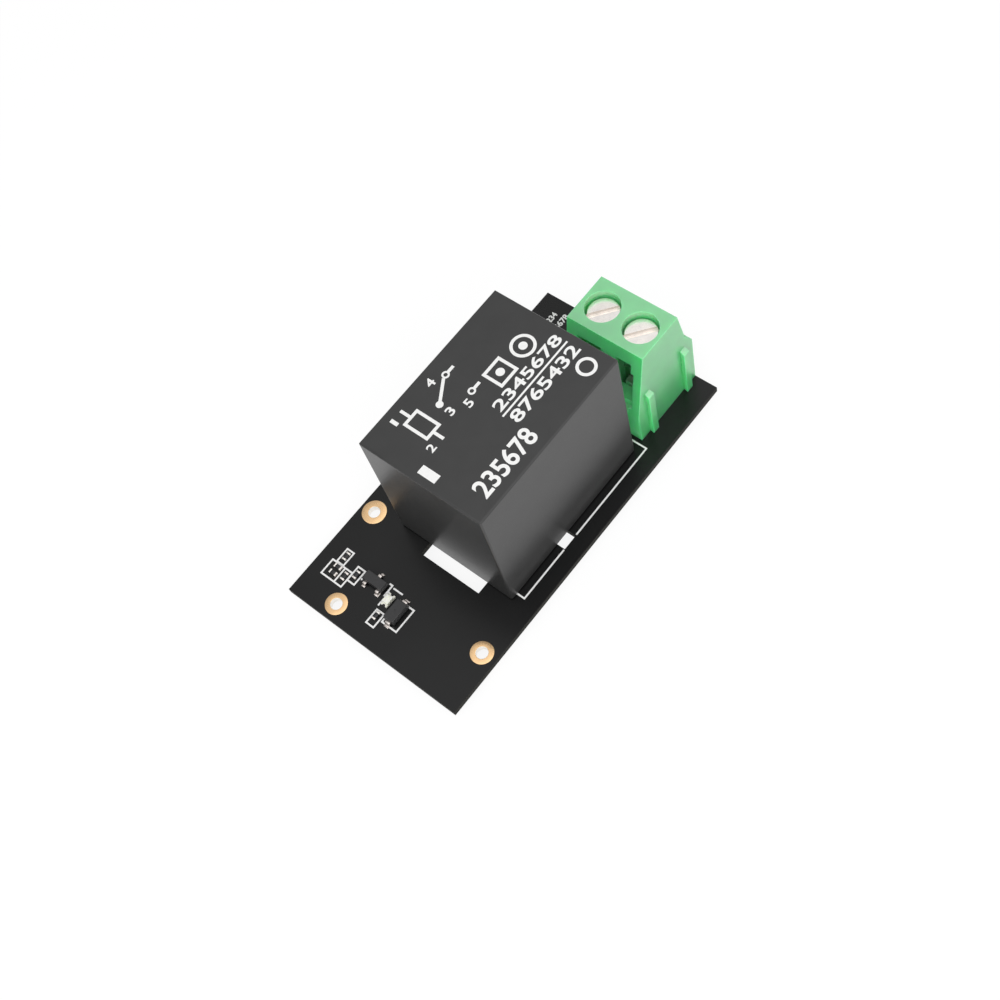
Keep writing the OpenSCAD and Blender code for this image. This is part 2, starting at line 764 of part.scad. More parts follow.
// Dovetail rib or its groove, standing out of the plane y = 0 towards -y
module side_rib(grow, reach, low) {
    difference() {
        translate([0, 0, low]) linear_extrude(rib_h + rib_slope + grow - low) polygon([
            [rib_undercut - grow, over / 2],
            [rib_undercut - grow, 0],
            [-grow, -reach],
            [rib_w + grow, -reach],
            [rib_w - rib_undercut + grow, 0],
            [rib_w - rib_undercut + grow, over / 2]
        ]);
        translate([-over, -reach, rib_h + grow]) rotate([atan(rib_slope / reach), 0, 0])
            cube([rib_w + 2 * over, 4 * reach, 4]);
    }
}

// Arched tunnel for the wire with a funnel at its mouth
module wire_entry() {
    arch_z = entry_top_z - entry_w / 2;
    mouth_x = terminal_d - entry_flare;
    half = entry_w / 2;
    translate([chamber_x1 - over, 0, 0])
        slab(0, terminal_d - chamber_x1 + 2 * over, entry_w, entry_low_z, arch_z);
    translate([chamber_x1 - over, 0, arch_z]) rotate([0, 90, 0])
        cylinder(d = entry_w, h = terminal_d - chamber_x1 + 2 * over);
    translate([mouth_x, 0, arch_z]) rotate([0, 90, 0])
        cylinder(r1 = half, r2 = half + 2 * entry_flare, h = 2 * entry_flare);
    intersection() {
        linear_extrude(arch_z) polygon([
            [mouth_x, -half],
            [mouth_x + 2 * entry_flare, -half - 2 * entry_flare],
            [mouth_x + 2 * entry_flare, half + 2 * entry_flare],
            [mouth_x, half]
        ]);
        translate([0, terminal_w, 0]) rotate([90, 0, 0]) linear_extrude(2 * terminal_w) polygon([
            [mouth_x, entry_low_z],
            [mouth_x + 2 * entry_flare, entry_low_z - 2 * entry_flare],
            [mouth_x + 2 * entry_flare, terminal_h],
            [mouth_x, terminal_h]
        ]);
    }
}

module terminal_housing() {
    slope_run = (terminal_h - recess_band - back_knee_z) * back_slope / (terminal_h - back_knee_z);
    recess_low = back_knee_z + 0.3;
    color([0.45, 0.78, 0.52]) on_terminal() difference() {
        union() {
            translate([0, terminal_w, 0]) rotate([90, 0, 0]) linear_extrude(terminal_w)
                terminal_outline();
            for (x = rib_x) translate([x, 0, 0]) side_rib(0, rib_out, 0);
        }
        for (x = rib_x) {
            translate([x, terminal_w, 0]) side_rib(fit, rib_out + fit, -over);
        }
        // Recess in the sloped back
        translate([0, terminal_w - recess_margin, 0]) rotate([90, 0, 0])
            linear_extrude(terminal_w - 2 * recess_margin) polygon([
                [-over, recess_low],
                [recess_depth, recess_low],
                [slope_run + recess_depth, terminal_h - recess_band],
                [-over, terminal_h - recess_band]
            ]);
        for (y = poles) translate([0, y, 0]) {
            slab(chamber_x0, chamber_x1, chamber_w, floor_t, ledge_z);
            // Window from the recess into the chamber
            slab(0, chamber_x0 + over, entry_w, recess_low + 0.6, ledge_z - 0.2);
            wire_entry();
            translate([screw_x, 0, head_z]) cylinder(d = head_d + 2 * head_gap, h = terminal_h);
            translate([screw_x, 0, ledge_z - over]) cylinder(d = thread_d + 2 * pass, h = terminal_h);
            translate([leg_x + leg_t / 2, 0, 0])
                post(bar_pin_t + 2 * fit, bar_pin_w + 2 * fit, -over, floor_t + over);
        }
    }
}

module clamp_screw(pole) {
    tip_z = bar_z + bar_t + fit;
    bevel = 0.15;
    seat = head_z + 0.03;
    color([0.86, 0.84, 0.82]) on_terminal() translate([screw_x, poles[pole], 0]) difference() {
        rotate_extrude() polygon([
            [0, tip_z],
            [thread_d / 2 - bevel, tip_z],
            [thread_d / 2, tip_z + bevel],
            [thread_d / 2, seat],
            [head_d / 2, seat],
            [head_d / 2, head_z + head_h - bevel],
            [head_d / 2 - bevel, head_z + head_h],
            [0, head_z + head_h]
        ]);
        rotate([0, 0, driver_slot_turn])
            post(head_d + over, driver_slot_w, head_z + head_h - driver_slot_h, terminal_h + over);
    }
}

module clamp_screw_1() {
    clamp_screw(0);
}

module clamp_screw_2() {
    clamp_screw(1);
}

module wire_clamp(pole) {
    window_low = clamp_low_z + clamp_jaw_t;
    window_top = clamp_low_z + clamp_h - clamp_nut_t;
    color([0.75, 0.75, 0.7]) on_terminal() translate([screw_x, poles[pole], 0]) difference() {
        post(clamp_l, clamp_w, clamp_low_z, clamp_low_z + clamp_h);
        post(clamp_l + over, clamp_w - 2 * clamp_wall, window_low, window_top);
        translate([0, 0, window_top - over / 2]) cylinder(d = thread_d + 2 * fit, h = clamp_nut_t + over);
    }
}

module wire_clamp_1() {
    wire_clamp(0);
}

module wire_clamp_2() {
    wire_clamp(1);
}

module current_bar(pole) {
    color([0.8, 0.78, 0.74]) on_terminal() translate([0, poles[pole], 0]) {
        slab(leg_x, chamber_x1 - fit, bar_w, bar_z, bar_z + bar_t);
        slab(leg_x, leg_x + leg_t, bar_w, floor_t, bar_z + bar_t);
        translate([leg_x + leg_t / 2, 0, 0]) post(bar_pin_t, bar_pin_w, pin_tip_z, floor_t + fit);
    }
}

module current_bar_1() {
    current_bar(0);
}

module current_bar_2() {
    current_bar(1);
}

module resistor_bodies() {
    color([0.15, 0.15, 0.16]) on_board() for (chip = chips) {
        translate([chip[0], chip[1], 0]) rotate([0, 0, chip[2]])
            post(chip_l - 2 * chip_cap, chip_w, 0, chip_h);
    }
}

module resistor_caps() {
    color([0.85, 0.8, 0.78]) on_board() for (chip = chips) {
        translate([chip[0], chip[1], 0]) rotate([0, 0, chip[2]]) for (side = [-1, 1]) {
            translate([side * (chip_l - chip_cap) / 2, 0, 0]) post(chip_cap, chip_w, 0, chip_h);
        }
    }
}

// Moulded body, widest at its parting line and drafted above and below it
module moulded_body(l, w, z0, h) {
    draft = 0.08;
    split = z0 + (h - z0) * 0.4;
    module half_profile(across) {
        polygon([
            [-across / 2 + draft, z0],
            [across / 2 - draft, z0],
            [across / 2, split],
            [across / 2 - draft, h],
            [-across / 2 + draft, h],
            [-across / 2, split]
        ]);
    }
    intersection() {
        translate([0, w, 0]) rotate([90, 0, 0]) linear_extrude(2 * w) half_profile(l);
        translate([-l, 0, 0]) rotate([90, 0, 90]) linear_extrude(2 * l) half_profile(w);
    }
}

// Gull-wing lead that leaves a body at x = 0 and reaches its foot along +x
module gull_lead(reach, w, exit_z) {
    translate([0, w / 2, 0]) rotate([90, 0, 0]) linear_extrude(w) polygon([
        [0, exit_z],
        [0, exit_z + lead_t],
        [reach * 0.5, exit_z + lead_t],
        [reach * 0.5 + lead_t, lead_t],
        [reach, lead_t],
        [reach, 0],
        [reach * 0.5, 0],
        [reach * 0.5 - lead_t, exit_z]
    ]);
}

module transistor_body() {
    color([0.16, 0.16, 0.17]) on_board() translate([transistor_at[0], transistor_at[1], 0])
        moulded_body(transistor_w, transistor_l, body_lift, transistor_h);
}

module transistor_leads() {
    reach = (transistor_span - transistor_w) / 2;
    exit_z = body_lift + (transistor_h - body_lift) * 0.4 - lead_t / 2;
    color([0.85, 0.82, 0.8]) on_board() translate([transistor_at[0], transistor_at[1], 0]) {
        translate([transistor_w / 2, 0, 0]) gull_lead(reach, lead_w, exit_z);
        for (side = [-1, 1]) {
            translate([-transistor_w / 2, side * transistor_pitch / 2, 0]) rotate([0, 0, 180])
                gull_lead(reach, lead_w, exit_z);
        }
    }
}

module light_base() {
    color([0.85, 0.87, 0.78]) on_board() translate([light_at[0], light_at[1], 0]) difference() {
        post(light_l, light_w, 0, light_base_h);
        for (side = [-1, 1]) {
            translate([side * light_l / 2, 0, -over]) cylinder(r = light_notch + 0.06, h = 2 * over);
        }
    }
}

module light_pads() {
    color([0.85, 0.8, 0.7]) on_board() translate([light_at[0], light_at[1], 0]) for (side = [-1, 1]) {
        intersection() {
            translate([side * light_l / 2, 0, 0]) difference() {
                cylinder(r = light_notch + 0.06, h = light_base_h);
                translate([0, 0, -over]) cylinder(r = light_notch, h = light_base_h + 2 * over);
            }
            post(light_l, light_w, 0, light_base_h);
        }
    }
}

module light_lens() {
    lens_l = light_l - 2 * light_notch - 0.2;
    color([0.9, 0.93, 0.82]) on_board() translate([light_at[0], light_at[1], 0])
        post(lens_l, light_w, light_base_h, light_h);
}

module diode_body() {
    color([0.15, 0.15, 0.16]) on_board() translate([diode_at[0], diode_at[1], 0])
        moulded_body(diode_l, diode_w, body_lift, diode_h);
}

module diode_leads() {
    reach = (diode_span - diode_l) / 2;
    exit_z = body_lift + (diode_h - body_lift) * 0.4 - lead_t / 2;
    color([0.85, 0.82, 0.8]) on_board() translate([diode_at[0], diode_at[1], 0]) for (side = [0, 180]) {
        rotate([0, 0, side]) translate([diode_l / 2, 0, 0]) gull_lead(reach, diode_lead_w, exit_z);
    }
}

circuit_board();
hole_lands();
solder_joints();
relay_case();
relay_base();
coil_bobbin();
coil_winding();
iron_core();
yoke();
coil_pins();
com_terminal();
hinge_spring();
spring_rivets();
armature();
contact_leaf();
leaf_rivets();
moving_contact();
no_terminal();
no_contact();
nc_terminal();
nc_contact();
terminal_housing();
clamp_screw_1();
clamp_screw_2();
wire_clamp_1();
wire_clamp_2();
current_bar_1();
current_bar_2();
resistor_bodies();
resistor_caps();
transistor_body();
transistor_leads();
light_base();
light_lens();
light_pads();
diode_body();
diode_leads();
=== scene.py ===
"""Dresses a small relay module: moulded cases, plated holes, driver parts, screw terminal, print and stage.

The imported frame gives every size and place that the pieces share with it. Places on the board are
millimetres from its near left corner, as a board drawing gives them. Everything else is metres.
"""

import json
import math

import bpy
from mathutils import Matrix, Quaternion, Vector

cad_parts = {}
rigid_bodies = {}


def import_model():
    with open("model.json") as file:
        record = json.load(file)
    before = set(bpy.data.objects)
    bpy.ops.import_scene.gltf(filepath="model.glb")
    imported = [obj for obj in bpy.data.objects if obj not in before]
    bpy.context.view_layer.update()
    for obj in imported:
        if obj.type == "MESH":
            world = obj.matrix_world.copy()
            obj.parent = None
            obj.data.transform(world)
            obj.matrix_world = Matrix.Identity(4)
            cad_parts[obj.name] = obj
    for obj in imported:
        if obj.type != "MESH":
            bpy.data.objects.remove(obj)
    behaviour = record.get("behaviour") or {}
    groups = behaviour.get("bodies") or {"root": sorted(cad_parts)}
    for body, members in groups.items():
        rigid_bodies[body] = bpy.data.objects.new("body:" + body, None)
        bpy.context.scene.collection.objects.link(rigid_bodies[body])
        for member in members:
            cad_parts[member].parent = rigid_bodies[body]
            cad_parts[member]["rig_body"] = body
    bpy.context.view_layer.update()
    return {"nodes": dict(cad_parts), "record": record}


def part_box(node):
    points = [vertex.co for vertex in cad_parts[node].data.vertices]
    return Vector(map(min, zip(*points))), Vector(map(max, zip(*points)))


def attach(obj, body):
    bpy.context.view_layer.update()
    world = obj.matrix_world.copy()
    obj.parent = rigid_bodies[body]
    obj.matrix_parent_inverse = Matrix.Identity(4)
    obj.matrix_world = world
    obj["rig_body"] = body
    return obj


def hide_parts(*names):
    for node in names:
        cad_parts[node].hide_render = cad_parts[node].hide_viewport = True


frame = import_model()

bl_info = {
    "name": "Relay module",
    "version": (1, 0, 0),
    "blender": (4, 5, 0),
    "location": "3D View > Sidebar > Relay module",
    "description": "Finishes, print, solder and fasteners of a small relay module, and its studio",
    "category": "Add Mesh",
}

MM = 0.001
BOARD_LOW, BOARD_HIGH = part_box("circuit_board")
RELAY_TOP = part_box("relay_case")[1].z
LEVEL = 0.999  # A face is level where its normal rises by more than this
UPRIGHT = 0.5  # A face is upright where its normal rises by less than this
TINY = 1e-7  # Metres within which two places count as one


# Settings


def number_setting(name, description, default, **limits):
    """A number that a user may change, with its limits and its unit or subtype."""
    return bpy.props.FloatProperty(name=name, description=description, default=default, **limits)


def length_setting(name, description, default, low=0.0, digits=5):
    """A length that a user may change, with its default and its least value in millimetres."""
    return number_setting(name, description, default * MM, min=low * MM, unit="LENGTH", precision=digits)


def colour_setting(name, description, default):
    """A colour that a user may change."""
    return bpy.props.FloatVectorProperty(
        name=name, description=description, default=default, min=0.0, max=1.0, subtype="COLOR")


class EdgeSettings(bpy.types.PropertyGroup):
    """How far the edges of the moulded and stamped pieces are rounded."""

    terminal: length_setting("Terminal edges", "Rounding of the terminal's moulded edges", 0.09)
    body: length_setting("Body edges", "Rounding of the transistor, diode and light bodies", 0.05)
    chip: length_setting("Chip edges", "Rounding of the chips, their end caps and the small leads", 0.035)
    stamped: length_setting("Stamped edges", "Rounding of the stamped and bent metal parts", 0.05)
    screw: length_setting("Screw edges", "Rounding of the screw heads and their slots", 0.06)


class DetailSettings(bpy.types.PropertyGroup):
    """Sizes of the details that only this scene adds."""

    plating: length_setting("Plating", "Thickness of the plating in the three large holes", 0.03)
    thread_pitch: length_setting("Thread pitch", "Rise of the screw thread in one turn", 0.45, low=0.1)
    thread_depth: length_setting("Thread depth", "Depth of the screw thread", 0.2)
    wire: length_setting("Coil wire", "Distance from one turn of the coil to the next", 0.2, low=0.05)
    copper: length_setting("Copper", "Height of the copper tracks and lands under the mask", 0.035)


class PrintSettings(bpy.types.PropertyGroup):
    """The white print on the board and on the relay."""

    line: length_setting("Board line", "Width of the lines printed on the board", 0.2, low=0.05)
    bold_line: length_setting("Relay line", "Width of the lines printed on the relay", 0.36, low=0.05)
    ink: length_setting("Ink", "Thickness of the printed ink", 0.012, low=0.001, digits=6)


class ColourSettings(bpy.types.PropertyGroup):
    """Base colours of the visible finishes."""

    mask: colour_setting("Solder mask", "Colour of the board's mask", (0.0065, 0.0066, 0.0067))
    case: colour_setting("Relay case", "Colour of the relay's moulded case", (0.030, 0.030, 0.030))
    terminal: colour_setting("Terminal", "Colour of the terminal's plastic", (0.075, 0.455, 0.155))
    gold: colour_setting("Gold plate", "Colour of the plated lands", (0.93, 0.62, 0.335))
    nickel: colour_setting("Nickel", "Colour of the nickel plated screws", (0.92, 0.87, 0.83))
    tin: colour_setting("Tin", "Colour of the tinned leads and end caps", (0.80, 0.74, 0.70))
    ink: colour_setting("Ink", "Colour of the white print", (0.90, 0.90, 0.89))


class StageSettings(bpy.types.PropertyGroup):
    """Floor, light and camera."""

    floor: number_setting("Floor", "Length of the floor's sides", 3.0, min=0.1, unit="LENGTH")
    floor_glow: number_setting(
        "Floor white", "Share of the floor's white that no shadow darkens", 0.84, min=0.0, max=1.0,
        subtype="FACTOR")
    sky: number_setting("Sky", "Strength of the even light from all sides", 0.6, min=0.0)
    dim_sky: number_setting("Far sky", "Strength of the mirrored sky behind the module", 0.45, min=0.0)
    bright_sky: number_setting("Near sky", "Strength of the mirrored sky over the camera", 1.45, min=0.0)
    key: number_setting("Key light", "Power of the large soft lamp", 0.65, min=0.0, unit="POWER")
    fill: number_setting(
        "Fill light", "Power of the lamp that opens the terminal's shaded back", 0.9, min=0.0, unit="POWER")
    key_size: number_setting("Lamp size", "Side of the soft lamps", 0.30, min=0.01, unit="LENGTH")
    lens: number_setting("Lens", "Focal length of the camera in millimetres", 49.44, min=1.0)
    distance: number_setting(
        "Distance", "Distance from the camera to the board", 156.245 * MM, min=0.01, unit="LENGTH")
    azimuth: number_setting(
        "Azimuth", "Turn of the camera round the module from straight ahead", math.radians(-32.19),
        unit="ROTATION")
    elevation: number_setting(
        "Elevation", "Height of the camera over the horizon", math.radians(61.058), unit="ROTATION")
    roll: number_setting(
        "Roll", "Turn of the camera round its line of sight", math.radians(-21.139), unit="ROTATION")


# Finishes


class Nodes:
    """A node tree in the making."""

    def __init__(self, tree):
        self.tree = tree

    def add(self, kind, sockets=None, **settings):
        """Adds a node, sets its settings, and links or sets its sockets."""
        made = self.tree.nodes.new(kind)
        for setting, value in settings.items():
            setattr(made, setting, value)
        for socket, value in (sockets or {}).items():
            if isinstance(value, bpy.types.NodeSocket):
                self.tree.links.new(value, made.inputs[socket])
            else:
                made.inputs[socket].default_value = value
        return made

    def calculate(self, operation, first, second=0.0, **settings):
        """One operation on two numbers."""
        made = self.add("ShaderNodeMath", {0: first, 1: second}, operation=operation, **settings)
        return made.outputs["Value"]

    def ramp(self, value, low, high, start=0.0, end=1.0):
        """Runs a value that goes from start to end over the range from low to high."""
        made = self.add("ShaderNodeMapRange", {
            "Value": value, "From Min": start, "From Max": end, "To Min": low, "To Max": high})
        return made.outputs["Result"]


class Finish(Nodes):
    """A procedural material in the making: its nodes read Object coordinates."""

    def __init__(self, name, metallic=0.0, ior=1.5, coat=0.0):
        self.material = bpy.data.materials.new(name)
        self.material.use_nodes = True
        super().__init__(self.material.node_tree)
        self.shader = self.tree.nodes["Principled BSDF"]
        self.constants({"Metallic": metallic, "IOR": ior, "Coat Weight": coat})
        self.place = self.add("ShaderNodeTexCoord").outputs["Object"]

    def constants(self, values):
        """Sets sockets of the shader."""
        for socket, value in values.items():
            self.shader.inputs[socket].default_value = value

    def grain(self, size, detail=2.0, stretch=(1.0, 1.0, 1.0)):
        """Noise of grains about size across, drawn out along an axis where stretch is below 1."""
        mapping = self.add("ShaderNodeMapping", {"Vector": self.place, "Scale": stretch})
        return self.add("ShaderNodeTexNoise", {
            "Vector": mapping.outputs["Vector"], "Scale": 1 / size, "Detail": detail}).outputs["Fac"]

    def spread(self, noise, low, high):
        """Runs a noise, which seldom leaves its middle, over the range from low to high."""
        return self.ramp(noise, low, high, 0.3, 0.7)

    def shades(self, noise, dark, light):
        """Colours from dark to light over a noise."""
        made = self.add("ShaderNodeValToRGB", {"Fac": noise})
        low, high = made.color_ramp.elements
        low.position, high.position = 0.32, 0.68
        low.color, high.color = (*dark, 1.0), (*light, 1.0)
        return made.outputs["Color"]

    def mix(self, amount, first, second):
        """Colour that goes from first to second with amount."""
        return self.add("ShaderNodeMix", {0: amount, 6: first, 7: second}, data_type="RGBA").outputs[2]

    def relief(self, height, depth, under=None):
        """Bump of that depth in metres, over another bump if there is one."""
        sockets = {"Height": height, "Distance": depth}
        if under is not None:
            sockets["Normal"] = under
        return self.add("ShaderNodeBump", sockets).outputs["Normal"]

    def finish(self, colour, roughness, normal):
        """Links the three surface values to the shader and returns the material."""
        for socket, value in (("Base Color", colour), ("Roughness", roughness), ("Normal", normal)):
            self.tree.links.new(value, self.shader.inputs[socket])
        return self.material


def shade(colour, factor):
    """A colour made darker or lighter."""
    return tuple(min(1.0, part * factor) for part in colour[:3])


def moulded(name, colour, rough=0.4, ior=1.5, texture=0.06 * MM, depth=0.0012 * MM, depth_of_light=None):
    """Moulded plastic: slow clouds in the colour, a fine eroded texture and faint flow marks.

    depth_of_light is how far red, green and blue light wander inside a plastic that isn't opaque.
    """
    made = Finish(name, ior=ior)
    if depth_of_light is not None:
        made.constants({
            "Subsurface Weight": 0.75, "Subsurface Radius": depth_of_light, "Subsurface Scale": 1.0})
    clouds = made.shades(made.grain(2.4 * MM), shade(colour, 0.94), shade(colour, 1.06))
    flow = made.grain(0.7 * MM, stretch=(0.25, 1.0, 1.0))
    skin = made.grain(texture, detail=3.0)
    normal = made.relief(skin, depth, made.relief(flow, 2 * depth))
    return made.finish(clouds, made.spread(skin, rough - 0.05, rough + 0.05), normal)


def metal(name, colour, rough=0.3, brush=(1.0, 1.0, 1.0)):
    """Plated or bare metal: faint stains, and scratches drawn out along the brushed direction."""
    made = Finish(name, metallic=1.0)
    stains = made.shades(made.grain(0.9 * MM), shade(colour, 0.93), shade(colour, 1.05))
    scratches = made.grain(0.05 * MM, detail=3.0, stretch=brush)
    return made.finish(stains, made.spread(scratches, rough - 0.07, rough + 0.09),
                       made.relief(scratches, 0.0006 * MM))


def solder_mask(name, colour):
    """Satin mask over woven laminate, with the dark cut edge of the laminate on upright faces."""
    made = Finish(name, ior=1.36)
    bundle = 0.45 * MM
    bands = {"Vector": made.place, "Scale": math.pi / (10 * bundle), "Distortion": 0.6}
    across, along = [
        made.add("ShaderNodeTexWave", bands, bands_direction=axis).outputs["Fac"] for axis in ("X", "Y")]
    weave = made.calculate("MULTIPLY", across, along)
    skin = made.grain(0.05 * MM, detail=3.0)
    mask = made.shades(made.grain(5 * MM), shade(colour, 0.9), shade(colour, 1.12))
    plies = made.grain(0.08 * MM, stretch=(0.1, 0.1, 1.0))
    laminate = made.shades(plies, (0.006, 0.006, 0.004), (0.016, 0.015, 0.011))
    facing = made.add("ShaderNodeSeparateXYZ", {"Vector": made.add("ShaderNodeTexCoord").outputs["Normal"]})
    upright = made.calculate("LESS_THAN", made.calculate("ABSOLUTE", facing.outputs["Z"]), UPRIGHT)
    rough = made.calculate("ADD", made.spread(skin, 0.25, 0.31), made.calculate("MULTIPLY", upright, 0.5))
    normal = made.relief(skin, 0.0006 * MM, made.relief(weave, 0.0004 * MM))
    return made.finish(made.mix(upright, mask, laminate), rough, normal)


def printed_ink(name, colour):
    """Screen printed ink: matt, a little porous, with a slight unevenness from the mesh."""
    made = Finish(name)
    mesh = made.grain(0.06 * MM, detail=3.0)
    return made.finish(made.shades(made.grain(0.3 * MM), shade(colour, 0.95), colour),
                       made.spread(mesh, 0.5, 0.62), made.relief(mesh, 0.0015 * MM))


def turned_nickel(name, colour, screw):
    """Screw metal with the rings that the lathe left round that screw's own axis."""
    made = Finish(name, metallic=1.0)
    low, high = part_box(screw)
    ring_step = 0.07 * MM
    moved = made.add("ShaderNodeMapping", {"Vector": made.place, "Location": tuple(-(low + high) / 2)})
    level = {0: moved.outputs["Vector"], 1: (1.0, 1.0, 0.0)}
    flat = made.add("ShaderNodeVectorMath", level, operation="MULTIPLY").outputs["Vector"]
    distance = made.add("ShaderNodeVectorMath", {0: flat}, operation="LENGTH").outputs["Value"]
    rings = made.calculate("SINE", made.calculate("MULTIPLY", distance, 2 * math.pi / ring_step))
    stains = made.shades(made.grain(0.8 * MM), shade(colour, 0.96), shade(colour, 1.04))
    scratches = made.grain(0.06 * MM, stretch=(0.3, 1.0, 1.0))
    normal = made.relief(rings, 0.00035 * MM, made.relief(scratches, 0.0004 * MM))
    return made.finish(stains, made.spread(scratches, 0.16, 0.26), normal)


def clear_resin(name, colour):
    """Pale cast resin over the light: glossy, slightly cloudy, with a soft glow inside."""
    made = Finish(name, ior=1.52, coat=0.4)
    made.constants({
        "Subsurface Weight": 0.2, "Subsurface Radius": (0.9, 1.0, 0.6), "Subsurface Scale": 0.4 * MM})
    cloud = made.grain(0.3 * MM)
    return made.finish(made.shades(cloud, shade(colour, 0.94), colour), made.spread(cloud, 0.15, 0.25),
                       made.relief(made.grain(0.12 * MM), 0.0008 * MM))


def enamelled_wire(name, colour):
    """Coil wire under clear enamel: warm copper with a gloss of its own."""
    made = Finish(name, metallic=0.85, coat=0.6)
    tint = made.grain(0.4 * MM, stretch=(1.0, 1.0, 4.0))
    return made.finish(made.shades(tint, shade(colour, 0.8), shade(colour, 1.1)),
                       made.spread(tint, 0.2, 0.34), made.relief(made.grain(0.03 * MM), 0.0005 * MM))


def tinned_solder(name, colour):
    """Solder that froze with a bright, faintly wrinkled skin."""
    made = Finish(name, metallic=1.0)
    wrinkles = made.grain(0.22 * MM, detail=3.0)
    return made.finish(made.shades(wrinkles, shade(colour, 0.9), shade(colour, 1.05)),
                       made.spread(wrinkles, 0.14, 0.3), made.relief(wrinkles, 0.006 * MM))


def make_finishes(colours):
    """All the finishes of the module by name."""
    green_light = (0.6 * MM, 2.2 * MM, 1.0 * MM)
    return {
        "mask": solder_mask("mask", colours.mask),
        "ink": printed_ink("ink", colours.ink),
        "gold": metal("gold", colours.gold, rough=0.28),
        # The rim finish is the land gold made 1.12 times lighter and glossier for the rounded rims: a
        # painted highlight.
        "gold_edge": metal("gold_edge", shade(colours.gold, 1.12), rough=0.22),
        "bore": metal("bore", (0.96, 0.93, 0.88), rough=0.42),
        "solder": tinned_solder("solder", (0.78, 0.78, 0.80)),
        "case": moulded("case", colours.case, rough=0.36),
        "base": moulded("base", (0.030, 0.030, 0.030), rough=0.45),
        "bobbin": moulded("bobbin", (0.80, 0.76, 0.66), rough=0.42),
        "wire": enamelled_wire("wire", (0.62, 0.25, 0.09)),
        "iron": metal("iron", (0.55, 0.55, 0.56), rough=0.38, brush=(0.15, 1.0, 1.0)),
        "pin": metal("pin", (0.75, 0.75, 0.76), rough=0.3, brush=(1.0, 1.0, 0.1)),
        "copper": metal("copper", (0.72, 0.45, 0.28), rough=0.32, brush=(1.0, 1.0, 0.12)),
        "bronze": metal("bronze", (0.75, 0.53, 0.33), rough=0.28, brush=(0.12, 1.0, 1.0)),
        "rivet": metal("rivet", (0.62, 0.62, 0.63), rough=0.3),
        "silver": metal("silver", (0.85, 0.85, 0.86), rough=0.2),
        "terminal": moulded(
            "terminal", colours.terminal, rough=0.36, ior=2.9, texture=0.09 * MM,
            depth_of_light=green_light),
        # The edge finish is the terminal's green made 1.3 times lighter and glossier for the rounded edge
        # strips: a painted highlight.
        "terminal_edge": moulded(
            "terminal_edge", shade(colours.terminal, 1.3), rough=0.28, ior=2.9, depth_of_light=green_light),
        "nickel_1": turned_nickel("nickel_1", colours.nickel, "clamp_screw_1"),
        "nickel_2": turned_nickel("nickel_2", colours.nickel, "clamp_screw_2"),
        "zinc": metal("zinc", (0.70, 0.70, 0.66), rough=0.36, brush=(1.0, 1.0, 0.15)),
        "ceramic": moulded("ceramic", (0.016, 0.016, 0.018), rough=0.3, texture=0.04 * MM),
        "tin": metal("tin", colours.tin, rough=0.34),
        "cap": metal("cap", shade(colours.tin, 1.25), rough=0.4),
        "epoxy": moulded("epoxy", (0.026, 0.026, 0.027), rough=0.42, texture=0.04 * MM, depth=0.002 * MM),
        "substrate": moulded("substrate", (0.80, 0.80, 0.70), rough=0.5, texture=0.04 * MM),
        "resin": clear_resin("resin", (0.95, 0.96, 0.84)),
        "pad": metal("pad", (0.98, 0.95, 0.90), rough=0.45),
    }


FINISHES = {}  # Filled by main, before the first operator runs


# Tools at the bench


def deselect():
    if bpy.context.mode != "OBJECT":
        leave_edit()
    bpy.ops.object.select_all(action="DESELECT")


def pick(*pieces):
    """Selects these objects alone, the first one active."""
    deselect()
    for piece in pieces:
        piece.select_set(True)
    bpy.context.view_layer.objects.active = pieces[0]


def edit_all(piece):
    """Selects a piece's whole mesh in edit mode."""
    pick(piece)
    bpy.ops.object.mode_set(mode="EDIT")
    bpy.ops.mesh.select_all(action="SELECT")


def leave_edit():
    bpy.ops.object.mode_set(mode="OBJECT")


def settle(piece, name):
    """Names a new object and puts its place, turn and scale into its mesh."""
    piece.name = name
    piece.data.name = name
    pick(piece)
    bpy.ops.object.transform_apply(location=True, rotation=True, scale=True)
    return piece


def on_board(x, y):
    """A place on the board's top face, in millimetres from its near left corner, as metres."""
    return Vector((BOARD_LOW.x + x * MM, BOARD_LOW.y + y * MM, BOARD_HIGH.z))


def copy_of(node, name):
    """A copy of a CAD node as its own piece, its triangles merged into whole faces."""
    piece = bpy.data.objects.new(name, frame["nodes"][node].data.copy())
    bpy.context.scene.collection.objects.link(piece)
    piece.data.name = name
    piece.data.materials.clear()
    pick(piece)
    bpy.ops.mesh.customdata_custom_splitnormals_clear()
    edit_all(piece)
    bpy.ops.mesh.remove_doubles(threshold=TINY)
    bpy.ops.mesh.dissolve_limited(angle_limit=math.radians(0.5))
    leave_edit()
    return piece


def apply_modifier(piece, kind, **settings):
    """Adds a modifier to a piece and applies it."""
    pick(piece)
    made = piece.modifiers.new(kind.title(), kind)
    for setting, value in settings.items():
        setattr(made, setting, value)
    bpy.ops.object.modifier_apply(modifier=made.name)


def soften(piece, width, segments=2, angle=30.0, edge_slot=-1):
    """Rounds every edge sharper than angle. edge_slot is the material slot of the rounded strips."""
    apply_modifier(piece, "BEVEL", width=width, segments=segments, limit_method="ANGLE",
                   angle_limit=math.radians(angle), material=edge_slot, miter_outer="MITER_ARC")


def smooth(piece, angle=32.0):
    """Smooth shading that keeps the flat faces flat."""
    pick(piece)
    bpy.ops.object.shade_smooth_by_angle(angle=math.radians(angle))
    apply_modifier(piece, "WEIGHTED_NORMAL", keep_sharp=True, weight=90)


def face_out(piece):
    """Turns the faces of a closed piece outwards."""
    edit_all(piece)
    bpy.ops.mesh.remove_doubles(threshold=TINY)
    bpy.ops.mesh.normals_make_consistent(inside=False)
    leave_edit()


